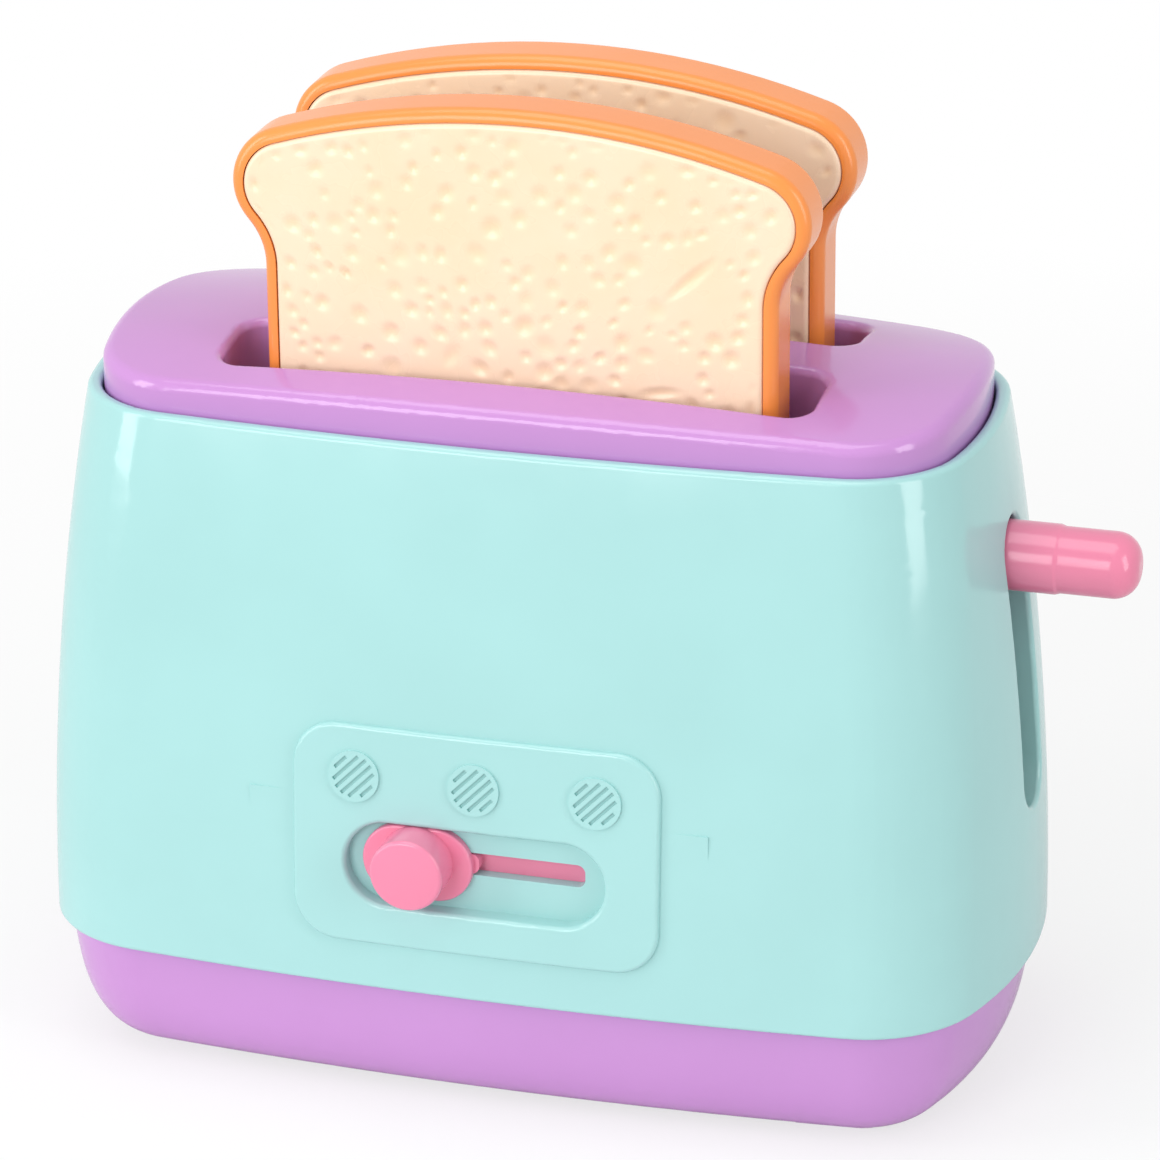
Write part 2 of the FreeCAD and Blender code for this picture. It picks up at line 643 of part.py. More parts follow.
def dial_marks(skin):
    """Three round marks with slanting grooves, trimmed to a skin just in front of the panel."""
    radius, rim, groove, pitch = [
        value(text) for text in ("dial_radius", "dial_rim", "dial_groove", "dial_groove_pitch")
    ]
    back = value("-shell_depth / 2 + front_lean")
    reach = value("2 * front_lean")
    slant = Rotation(Vector(0, 1, 0), -45)
    blank = Part.makeCylinder(radius, reach, Vector(0, back, 0), Vector(0, -1, 0))
    grooves = []
    for step in range(-3, 3):
        offset = (step + 0.5) * pitch
        half = math.sqrt((radius - rim) ** 2 - (abs(offset) + groove / 2) ** 2)
        corner = Vector(-half, back - 2 * reach, offset - groove / 2)
        bar = Part.makeBox(2 * half, 3 * reach, groove, corner)
        bar.Placement = Placement(Vector(), slant) * bar.Placement
        grooves.append(bar)
    mark = blank.cut(Part.Compound(grooves))
    marks = []
    for step in (-1, 0, 1):
        copy = mark.copy()
        copy.translate(Vector(step * value("dial_pitch"), 0, value("panel_middle + dial_rise")))
        marks.append(copy)
    item = doc.addObject("Part::Feature", "dial_blocks")
    item.Shape = Part.Compound(marks)
    return common("dial_marks", item, skin)


def slider_guides():
    """A flat pad behind the recess with two rails, and the room that the slide plate runs in."""
    left = f"{plate_left} - 1"
    right = f"-({plate_left}) + 1"
    half = "(plate_height / 2 + slider_side_gap)"
    low = f"{slider_middle} - {half}"
    high = f"{slider_middle} + {half}"
    pad_plane = f"{floor_y} + slider_wall"
    pad_block = box(
        "slider_pad",
        (left, right),
        (f"{floor_y} - 0.3", pad_plane),
        (f"{low} - rail_width", f"{high} + rail_width"),
    )
    rail_y = (f"{pad_plane} - 0.5", f"{plate_back} + 0.4")
    lower = box("lower_rail", (left, right), rail_y, (f"{low} - rail_width", low))
    upper = box("upper_rail", (left, right), rail_y, (high, f"{high} + rail_width"))
    room = box("plate_room", (f"{left} + 0.4", f"{right} - 0.4"), (pad_plane, f"{plate_back} + 1"), (low, high))
    return [pad_block, lower, upper], room


def make_body_shell():
    outer = shell_blank("shell_outer")
    panel_skin = shell_blank("panel_skin", "panel_raise")
    dial_skin = shell_blank("dial_skin", "panel_raise + dial_raise")
    front = fuse("shell_front", [outer, raised_panel(panel_skin), dial_marks(dial_skin)])
    cavity = shell_blank("shell_cavity", "-shell_wall", "shell_bottom - 1", ledge_bottom)
    opening = extrude("rim_opening", cover_outline("rim_opening_plan", ledge_top, "cover_gap"), "2 * cover_plug")
    passage_plan = free_sketch("ledge_passage_plan", z=f"{ledge_bottom} - 1")
    rounded_rectangle(
        passage_plan, ("0", "0"), f"2 * {ledge_half_length}", f"2 * {ledge_half_depth}", "slot_corner_radius"
    )
    passage = extrude("ledge_passage", passage_plan, "ledge_thickness + 2")
    hollow = cut("shell_hollow", front, [cavity, opening, passage])
    rim = value("shell_top")
    rounded = round_edges("shell_rim", hollow, "rim_round", lambda point: abs(point.z - rim) < 0.01)
    collar_core = shell_blank("collar_core", "-slot_collar_depth")
    collar_block = lever_slot_prism("collar_block", "slot_collar_wall", "shell_length / 4")
    collar = cut("slot_collar", common("collar_trimmed", collar_block, outer), [collar_core])
    posts = [
        cylinder(f"screw_post_{number}", "post_radius", x, y, ("post_seat", f"{ledge_bottom} + 0.5"))
        for number, (x, y) in enumerate(mirrored_places(post_x, post_y))
    ]
    guides, plate_room = slider_guides()
    solid = fuse("shell_solid", [rounded, collar] + guides + posts)
    recess = front_prism(
        "recess",
        lambda sketch: stadium(sketch, ("0", recess_middle), "recess_length", "recess_height"),
        floor_y,
        "front_lean",
    )
    slider_slot = front_prism(
        "slider_slot",
        lambda sketch: rounded_rectangle(
            sketch, ("0", slider_middle), "slider_slot_length", "slider_slot_height", "slider_slot_radius"
        ),
        f"{floor_y} + 2 * slider_wall",
        "front_lean",
    )
    lever_slot = lever_slot_prism("lever_slot", "0", "shell_length / 4")
    pilots = [
        cylinder(
            f"post_pilot_{number}", "screw_radius + thread_gap", x, y, ("post_seat - 1", "post_seat + screw_length")
        )
        for number, (x, y) in enumerate(mirrored_places(post_x, post_y))
    ]
    holes = [
        cylinder(
            f"ledge_hole_{number}", "screw_radius + screw_gap", x, y, (f"{ledge_bottom} - 1", f"{ledge_top} + 1")
        )
        for number, (x, y) in enumerate(mirrored_places(cover_boss_x, "cover_boss_spacing / 2"))
    ]
    sharp = cut("shell_sharp", solid, [recess, slider_slot, plate_room, lever_slot] + pilots + holes)
    doc.recompute()
    on_panel = touches(panel_skin.Shape)
    on_outside = touches(outer.Shape)
    low = value(f"{recess_middle} - recess_height / 2") - 0.1
    high = value(f"{recess_middle} + recess_height / 2") + 0.1
    half = value("recess_length / 2") + 0.1
    softened = round_edges(
        "shell_recess_edge",
        sharp,
        "recess_round",
        lambda point: abs(point.x) < half and low < point.z < high and point.y < 0 and on_panel(point),
    )
    side = value(lever_slot_half_width) + 0.1
    end = value("shell_length / 2 - end_lean") - 1
    return round_edges(
        "body_shell",
        softened,
        "slot_lip_round",
        lambda point: point.x > end and abs(point.y) < side and point.z < rim - 5 and on_outside(point),
    )


# Top cover


def cover_outline(name, height, grow):
    """The plan of the cover's plug, which follows the rim of the shell."""
    inward = "(rim_width + cover_gap)"
    return plan_outline(
        name,
        height,
        f"shell_length / 2 - end_lean - {inward}",
        f"shell_depth / 2 - front_lean - {inward}",
        grow,
        f"shell_corner_radius - corner_lean - {inward}",
    )


def slot_prism(name, side, grow, low, high):
    """A prism in the plan of one bread slot."""
    sketch = free_sketch(f"{name}_plan", z=low)
    rounded_rectangle(
        sketch,
        ("0", f"{side} * slot_pitch / 2"),
        f"{slot_length} + 2 * {grow}",
        f"slot_width + 2 * {grow}",
        f"slot_corner_radius + {grow}",
    )
    return extrude(name, sketch, f"({high}) - ({low})")


def crown_barrel():
    """A block whose top is arched both ways: an arc over the depth, turned about a far axis."""
    sketch = free_sketch("crown_profile", turn=FACING_LEVER)
    half = 50
    radius, top, low = value("crown_depth_radius"), value(crown), value(f"{ledge_top} - 5")
    swing = math.asin(half / radius)
    shoulder = top - radius + radius * math.cos(swing)
    middle = math.pi / 2
    sketch.addGeometry(arc((0, top - radius), radius, middle - swing, middle + swing), False)
    sketch.addGeometry(line((-half, shoulder), (-half, low)), False)
    sketch.addGeometry(line((-half, low), (half, low)), False)
    sketch.addGeometry(line((half, low), (half, shoulder)), False)
    for index in range(4):
        sketch.addConstraint(Constraint("Coincident", index, 2, (index + 1) % 4, 1))
    sketch.addConstraint([Constraint("Vertical", 1), Constraint("Horizontal", 2), Constraint("Vertical", 3)])
    sketch.addConstraint(Constraint("PointOnObject", 0, 3, -2))
    add_named(sketch, "radius", Constraint("Radius", 0, radius), "crown_depth_radius")
    add_named(sketch, "centre", Constraint("DistanceY", -1, 1, 0, 3, top - radius), f"{crown} - crown_depth_radius")
    add_named(sketch, "low", Constraint("DistanceY", -1, 1, 2, 1, low), f"{ledge_top} - 5")
    sketch.addConstraint(Constraint("DistanceX", -1, 1, 3, 1, half))
    sketch.addConstraint(Constraint("DistanceX", 2, 1, -1, 1, half))
    barrel = doc.addObject("Part::Revolution", "crown_barrel")
    barrel.Source = sketch
    barrel.Axis = Vector(0, 1, 0)
    barrel.Angle = 12
    barrel.Symmetric = True
    barrel.Solid = True
    bind(barrel, "Base.z", f"{crown} - crown_length_radius")
    return barrel


def on_crown(point):
    """Whether the point lies on the cover's arched top."""
    axis = value(f"{crown} - crown_length_radius")
    height = axis + math.hypot(point.x, point.z - axis)
    centre = value(f"{crown} - crown_depth_radius")
    return abs(math.hypot(point.y, height - centre) - value("crown_depth_radius")) < 0.01


def make_top_cover():
    plug = extrude("cover_plug_block", cover_outline("cover_plan", ledge_top, "0"), "cover_rise + cover_plug + 1")
    crowned = common("cover_crowned", plug, crown_barrel())
    rounded = round_edges("cover_rounded", crowned, "cover_round", on_crown)
    hollow_plan = cover_outline("cover_hollow_plan", f"{ledge_top} - 1", "-cover_wall")
    hollow = extrude("cover_hollow", hollow_plan, f"{roof} - ({ledge_top} - 1)")
    shell = cut("cover_shell", rounded, [hollow])
    chutes = [
        slot_prism(f"chute_{number}", side, "chute_wall", chute_bottom, f"{roof} + 1")
        for number, side in enumerate((-1, 1))
    ]
    sockets = [
        cylinder(f"rod_socket_{number}", "socket_radius", x, "0", (socket_bottom, f"{roof} + 1"))
        for number, x in enumerate((f"-{rod_x}", rod_x))
    ]
    places = mirrored_places(cover_boss_x, "cover_boss_spacing / 2")
    bosses = [
        cylinder(f"cover_boss_{number}", "cover_boss_radius", x, y, (ledge_top, f"{roof} + 1"))
        for number, (x, y) in enumerate(places)
    ]
    solid = fuse("cover_solid", [shell] + chutes + sockets + bosses)
    slots = [
        slot_prism(f"bread_slot_{number}", side, "0", f"{chute_bottom} - 1", f"{crown} + 1")
        for number, side in enumerate((-1, 1))
    ]
    bores = [
        cylinder(f"socket_bore_{number}", "rod_radius + rod_fit", x, "0", (f"{socket_bottom} - 1", rod_top))
        for number, x in enumerate((f"-{rod_x}", rod_x))
    ]
    pilots = [
        cylinder(
            f"cover_pilot_{number}",
            "screw_radius + thread_gap",
            x,
            y,
            (f"{ledge_top} - 1", f"{ledge_top} + cover_screw_length"),
        )
        for number, (x, y) in enumerate(places)
    ]
    sharp = cut("cover_sharp", solid, slots + bores + pilots)
    reach = value(f"{slot_length} / 2") + 0.1
    depth = value("(slot_pitch + slot_width) / 2") + 0.1
    return round_edges(
        "top_cover",
        sharp,
        "slot_lip",
        lambda point: abs(point.x) < reach and abs(point.y) < depth and on_crown(point),
    )


# Base tray

TRAY_PROFILE = [(0, 1), (0.14, 0.57), (0.3, 0.34), (0.6, 0.13), (1, 0)]


def tray_plan(name, height, inset):
    """A plan outline of the tray, inset from the shell's lower edge."""
    return plan_outline(name, height, "shell_length / 2", "shell_depth / 2", f"-({inset})")


def tray_form(name, bottom, inset):
    """The tray's flared form from a given height up to the shell's lower edge."""
    sections = []
    for number, (climb, share) in enumerate(TRAY_PROFILE):
        height = f"{bottom} + {climb} * (shell_bottom - {bottom})"
        flare = f"tray_inset + {share} * (tray_toe_inset - tray_inset) + {inset}"
        sections.append(tray_plan(f"{name}_section_{number}", height, flare))
    return loft(name, sections)


def foot_pads():
    """Four flat pads at the corners of the underside."""
    slab = extrude("foot_slab", tray_plan("foot_plan", "-foot_height", "foot_inset"), "foot_height + 0.5")
    inner_x = "shell_length / 2 - foot_inset - foot_length"
    inner_y = "shell_depth / 2 - foot_inset - foot_width"
    corners = []
    for number, (side_x, side_y) in enumerate(((1, 1), (-1, 1), (-1, -1), (1, -1))):
        x = (inner_x, "shell_length / 2") if side_x > 0 else ("-shell_length / 2", f"-({inner_x})")
        y = (inner_y, "shell_depth / 2") if side_y > 0 else ("-shell_depth / 2", f"-({inner_y})")
        corners.append(box(f"foot_corner_{number}", x, y, ("-foot_height - 1", "1")))
    return common("foot_pads", slab, fuse("foot_corners", corners))


def make_base_tray():
    flare = tray_form("tray_outer", "0", "0")
    lip_inset = "shell_wall + tray_lip_gap"
    lip = extrude("tray_lip_ring", tray_plan("tray_lip_plan", "shell_bottom - 1", lip_inset), "tray_lip + 1")
    room = tray_form("tray_room", "tray_wall", "tray_wall")
    throat_plan = tray_plan("tray_throat_plan", "shell_bottom - 0.5", "tray_inset + tray_wall")
    throat = extrude("tray_throat", throat_plan, "tray_lip + 1")
    dish = cut("tray_dish", fuse("tray_block", [flare, lip]), [room, throat])
    places = mirrored_places(post_x, post_y)
    bosses = [
        cylinder(f"tray_boss_{number}", "boss_radius", x, y, ("tray_wall - 0.5", "post_seat"))
        for number, (x, y) in enumerate(places)
    ]
    sockets = [
        cylinder(f"tray_socket_{number}", "socket_radius", x, "0", ("tray_wall - 0.5", "spring_seat"))
        for number, x in enumerate((f"-{rod_x}", rod_x))
    ]
    solid = fuse("tray_solid", [dish, foot_pads()] + bosses + sockets)
    holes = [
        cylinder(f"tray_hole_{number}", "screw_radius + screw_gap", x, y, ("-foot_height - 1", "post_seat + 1"))
        for number, (x, y) in enumerate(places)
    ]
    wells = [
        cylinder(f"tray_well_{number}", "screw_head_radius + screw_gap", x, y, ("-foot_height - 1", "spring_seat"))
        for number, (x, y) in enumerate(places)
    ]
    bores = [
        cylinder(f"tray_bore_{number}", "rod_radius + rod_fit", x, "0", ("tray_wall + 1", "spring_seat + 1"))
        for number, x in enumerate((f"-{rod_x}", rod_x))
    ]
    return cut("base_tray", solid, holes + wells + bores)


# Guide rods and return springs


def make_guide_rods():
    rods = [
        cylinder(f"guide_rod_{number}", "rod_radius", x, "0", ("tray_wall + 1", rod_top))
        for number, x in enumerate((f"-{rod_x}", rod_x))
    ]
    return compound("guide_rods", rods)


def make_return_springs():
    """Two compression springs around the rods, drawn out to the carriage at its top stop."""
    wire = value("spring_wire_radius")
    radius = value("spring_radius")
    low = value("spring_seat") + wire
    high = value(sleeve_bottom) - wire
    turns = value("spring_turns")
    pitch = (high - low) / turns
    helix = Part.makeHelix(pitch, high - low, radius)
    profile = Part.Wire(Part.makeCircle(wire, Vector(radius, 0, 0), Vector(0, 1, 0)))
    coil = Part.Wire(helix.Edges).makePipeShell([profile], True, True)
    copies = []
    for side in (-1, 1):
        copy = coil.copy()
        copy.translate(Vector(side * value(rod_x), 0, low))
        copies.append(copy)
    print("return_springs least gap between turns, mm:", round(pitch - 2 * wire, 2))
    item = doc.addObject("Part::Feature", "return_springs")
    item.Shape = Part.Compound(copies)
    return item


# Bread carriage


def make_bread_carriage():
    half_length = "slice_foot_width / 2 + slice_shift + trough_gap + trough_wall"
    shelf_z = (shelf_bottom, "shelf_height")
    shelf = box("shelf", (f"-({half_length})", half_length), (f"-{trough_front}", trough_front), shelf_z)
    parts = [shelf]
    wall_z = (shelf_bottom, "shelf_height + trough_height")
    stop = "slice_foot_width / 2 + trough_gap"
    for number, side in enumerate((-1, 1)):
        middle = f"{side} * slice_pitch / 2"
        near = (f"{middle} - {trough_half} - trough_wall", f"{middle} - {trough_half}")
        far = (f"{middle} + {trough_half}", f"{middle} + {trough_half} + trough_wall")
        whole = (near[0], far[1])
        left = (f"slice_shift - ({stop}) - trough_wall", f"slice_shift - ({stop})")
        right = (f"slice_shift + {stop}", f"slice_shift + {stop} + trough_wall")
        across = (left[0], right[1])
        parts.append(box(f"trough_near_{number}", across, near, wall_z))
        parts.append(box(f"trough_far_{number}", across, far, wall_z))
        parts.append(box(f"trough_left_{number}", left, whole, wall_z))
        parts.append(box(f"trough_right_{number}", right, whole, wall_z))
    rib_half = "rib_thickness / 2"
    rib_z = (f"{sleeve_bottom}", shelf_bottom)
    for number, y in enumerate(("-slice_pitch / 2", "0", "slice_pitch / 2")):
        parts.append(
            box(f"shelf_rib_{number}", (f"-({half_length})", half_length), (f"{y} - {rib_half}", f"{y} + {rib_half}"), rib_z)
        )
    tongue_z = (sleeve_bottom, "shelf_height")
    parts.append(box("tongue", (f"-{rod_x}", rod_x), ("2 * rod_fit - socket_radius", "socket_radius - 2 * rod_fit"), tongue_z))
    sleeve_z = (sleeve_bottom, f"{socket_bottom} - stop_gap")
    for number, x in enumerate((f"-{rod_x}", rod_x)):
        parts.append(cylinder(f"sleeve_{number}", "socket_radius", x, "0", sleeve_z))
    arm_top = f"{lever_height} + lever_plate_height / 2"
    arm_low = f"{lever_height} - lever_plate_height / 2"
    plate_half = "lever_plate_width / 2"
    parts.append(box("arm", (f"{arm_x} - 1.2", lever_root), ("-0.8 * socket_radius", "0.8 * socket_radius"), (sleeve_bottom, arm_top)))
    parts.append(box("arm_plate", (arm_x, lever_root), (f"-{plate_half}", plate_half), (arm_low, arm_top)))
    flange_x = ("catch_middle - catch_width / 2 - 2", "catch_middle + catch_width / 2 + 2")
    parts.append(box("catch_flange", flange_x, (f"{leaf_y} + catch_thickness / 2", f"0.5 - {trough_front}"), shelf_z))
    bores = [
        cylinder(f"sleeve_bore_{number}", "rod_radius + rod_fit", x, "0", (f"{sleeve_bottom} - 1", crown))
        for number, x in enumerate((f"-{rod_x}", rod_x))
    ]
    holes = []
    for number, side in enumerate((-1, 1)):
        hole = cylinder(f"arm_hole_{number}", "small_boss_radius", f"{arm_x} - 1", f"{side} * lever_screw_spacing / 2", ("0", "lever_plate_thickness + 2"))
        hole.Placement.Rotation = Rotation(Vector(0, 1, 0), 90)
        placed(hole, z=lever_height)
        holes.append(hole)
    rivet_hole = cylinder("rivet_hole", "rivet_radius + thread_gap", "catch_middle", rivet_y, (f"{shelf_bottom} - 1", "shelf_height + 1"))
    return cut("bread_carriage", fuse("carriage_solid", parts), bores + holes + [rivet_hole])


# Lever


def make_lever():
    body = new_body("lever", x=lever_root, y="0", z=lever_height)
    plate = body_sketch(body, "lever_plate_outline", "YZ_Plane")
    rounded_rectangle(plate, ("0", "0"), "lever_plate_width", "lever_plate_height", "2")
    pad(body, "lever_plate", plate, "lever_plate_thickness")
    reach = f"shell_length / 2 + lever_reach - {lever_root}"
    collar_end = f"{reach} - 14.6"
    outline = body_sketch(body, "lever_outline", "XZ_Plane")
    polygon(
        outline,
        [
            ("0", "0"),
            (reach, "0"),
            (reach, "lever_radius"),
            (f"{collar_end} + 1", "lever_radius"),
            (collar_end, "lever_collar_radius"),
            ("0", "lever_collar_radius"),
        ],
    )
    turned = body.newObject("PartDesign::Revolution", "lever_turned")
    turned.Profile = outline
    turned.ReferenceAxis = (outline, ["H_Axis"])
    turned.Angle = 360
    screws = body_sketch(body, "lever_screw_places", "YZ_Plane")
    radius = value("small_screw_radius + thread_gap")
    for number, side in enumerate((-1, 1)):
        across = value(f"{side} * lever_screw_spacing / 2")
        screws.addGeometry(Part.Circle(Vector(across, 0, 0), Vector(0, 0, 1), radius), False)
        screws.addConstraint(Constraint("PointOnObject", number, 3, -1))
        add_named(screws, f"place_{number}", Constraint("DistanceX", -1, 1, number, 3, across), f"{side} * lever_screw_spacing / 2")
        add_named(screws, f"radius_{number}", Constraint("Radius", number, radius), "small_screw_radius + thread_gap")
    pockets = body.newObject("PartDesign::Pocket", "lever_screw_holes")
    pockets.Profile = screws
    pockets.Reversed = True
    bind(pockets, "Length", "small_screw_length - lever_plate_thickness + 0.4")
    doc.recompute()
    tip = value(f"shell_length / 2 + lever_reach")
    body_fillet(body, "lever_tip", "lever_tip_round", lambda point: point.x > tip - 0.01)
    return body


# Slider knob with its flange and stem, and the plate behind the wall


def make_slider_knob():
    body = new_body("slider_knob", x="0", y=f"{floor_y} - slider_gap", z=slider_middle)
    flange = body_sketch(body, "flange_outline", "XZ_Plane")
    stadium(flange, (knob_middle, "-0.5"), "flange_length", "flange_height")
    pad(body, "flange", flange, "flange_thickness")
    stem = body_sketch(body, "stem_outline", "XZ_Plane")
    rounded_rectangle(stem, (stem_middle, "0"), stem_length, "slider_slot_height - 2 * slider_side_gap", "slider_slot_radius - 0.2")
    pad(body, "stem", stem, "slider_wall + 2 * slider_gap", reverse=True)
    knob = body_sketch(body, "knob_outline", "XY_Plane")
    centre, radius, face, dome = [value(text) for text in (knob_middle, "knob_radius", "flange_thickness + knob_length", "knob_dome")]
    ball = (radius**2 + dome**2) / (2 * dome)
    ball_formula = "(knob_radius * knob_radius + knob_dome * knob_dome) / (2 * knob_dome)"
    crest = -face - dome
    knob.addGeometry(line((centre, 0), (centre + radius, 0)), False)
    knob.addGeometry(line((centre + radius, 0), (centre + radius, -face)), False)
    start = math.pi * 1.5
    knob.addGeometry(arc((centre, crest + ball), ball, start, start + math.asin(radius / ball)), False)
    knob.addGeometry(line((centre, crest), (centre, 0)), False)
    knob.addConstraint(
        [
            Constraint("Coincident", 0, 2, 1, 1),
            Constraint("Coincident", 1, 2, 2, 2),
            Constraint("Coincident", 2, 1, 3, 1),
            Constraint("Coincident", 3, 2, 0, 1),
            Constraint("Horizontal", 0),
            Constraint("Vertical", 1),
            Constraint("Vertical", 3),
            Constraint("PointOnObject", 0, 1, -1),
            Constraint("PointOnObject", 2, 3, 3),
        ]
    )
    add_named(knob, "middle", Constraint("DistanceX", -1, 1, 0, 1, centre), knob_middle)
    add_named(knob, "edge", Constraint("DistanceX", 0, 1, 0, 2, radius), "knob_radius")
    add_named(knob, "face", Constraint("DistanceY", -1, 1, 1, 2, -face), "-(flange_thickness + knob_length)")
    add_named(knob, "dome", Constraint("Radius", 2, ball), ball_formula)
    turned = body.newObject("PartDesign::Revolution", "knob")
    turned.Profile = knob
    turned.ReferenceAxis = (knob, ["Edge4"])
    turned.Angle = 360
    hole = body_sketch(body, "knob_screw_place", "XZ_Plane")
    bore = value("small_screw_radius + thread_gap")
    hole.addGeometry(Part.Circle(Vector(centre, 0, 0), Vector(0, 0, 1), bore), False)
    hole.addConstraint(Constraint("PointOnObject", 0, 3, -1))
    add_named(hole, "place", Constraint("DistanceX", -1, 1, 0, 3, centre), knob_middle)
    add_named(hole, "radius", Constraint("Radius", 0, bore), "small_screw_radius + thread_gap")
    pocket = body.newObject("PartDesign::Pocket", "knob_screw_hole")
    pocket.Profile = hole
    pocket.Midplane = True
    bind(pocket, "Length", "2 * (small_screw_length - plate_thickness)")
    rim = value(f"{floor_y} - slider_gap - flange_thickness - knob_length")
    return body_fillet_body(body, rim, radius)


def body_fillet_body(body, rim, radius):
    """Round the knob's rim and the outer edge of its flange."""
    body_fillet(body, "knob_rim", "knob_round", lambda point: abs(point.y - rim) < 0.01)
    flange_front = value(f"{floor_y} - slider_gap - flange_thickness")
    centre = value(knob_middle)
    body_fillet(
        body,
        "flange_edge",
        "flange_thickness / 3",
        lambda point: abs(point.y - flange_front) < 0.01 and math.hypot(point.x - centre, point.z - value(slider_middle)) > radius + 0.01,
    )
    return body


def make_slide_plate():
    span = (f"{slider_middle} - plate_height / 2", f"{slider_middle} + plate_height / 2")
    plate = box("plate_sheet", (plate_left, plate_right), (plate_front, plate_back), span)
    ledge_x = ("catch_middle - catch_ledge_length / 2", "catch_middle + catch_ledge_length / 2")
    ledge_z = (ledge_low, f"{ledge_low} + catch_ledge_height")
    ledge = box("catch_ledge", ledge_x, (f"{plate_back} - 0.5", f"{leaf_y} - 0.7"), ledge_z)
    hole = cylinder("plate_hole", "small_boss_radius", knob_middle, f"{plate_back} + 1", ("0", "plate_thickness + 2"))
    hole.Placement.Rotation = FACING_FRONT
    placed(hole, z=slider_middle)
    return cut("slide_plate", fuse("plate_solid", [plate, ledge]), [hole])


# Catch leaf and its rivet


def make_catch_leaf():
    """A bent strip of spring steel whose tooth hooks under the slide plate's ledge."""
    sketch = free_sketch("leaf_outline", x="catch_middle - catch_width / 2", turn=FACING_LEVER)
    foot = "shelf_height"
    tooth_low = f"{tooth_top} - catch_tooth_height"
    polygon(
        sketch,
        [
            (leaf_y, foot),
            (f"{rivet_y} + rivet_head_radius + 0.5", foot),
            (f"{rivet_y} + rivet_head_radius + 0.5", f"{foot} + catch_thickness"),
            (f"{leaf_y} + catch_thickness", f"{foot} + catch_thickness"),
            (f"{leaf_y} + catch_thickness", tooth_top),
            (f"{leaf_y} - catch_reach", tooth_top),
            (f"{leaf_y} - catch_reach", f"{tooth_top} - catch_thickness"),
            (leaf_y, tooth_low),
        ],
    )
    strip = extrude("leaf_strip", sketch, "catch_width")
    hole = cylinder("leaf_hole", "rivet_radius + thread_gap", "catch_middle", rivet_y, (f"{foot} - 1", f"{foot} + 2"))
    return cut("catch_leaf", strip, [hole])


def make_catch_rivet():
    low = shelf_bottom
    high = "shelf_height + catch_thickness"
    shank = cylinder("rivet_shank", "rivet_radius", "catch_middle", rivet_y, (f"{low} - rivet_head_height", f"{high} + rivet_head_height"))
    under = cylinder("rivet_under", "rivet_head_radius", "catch_middle", rivet_y, (f"{low} - rivet_head_height", low))
    over = cylinder("rivet_over", "rivet_head_radius", "catch_middle", rivet_y, (high, f"{high} + rivet_head_height"))
    return fuse("catch_rivet", [shank, under, over])


# Slices of toast


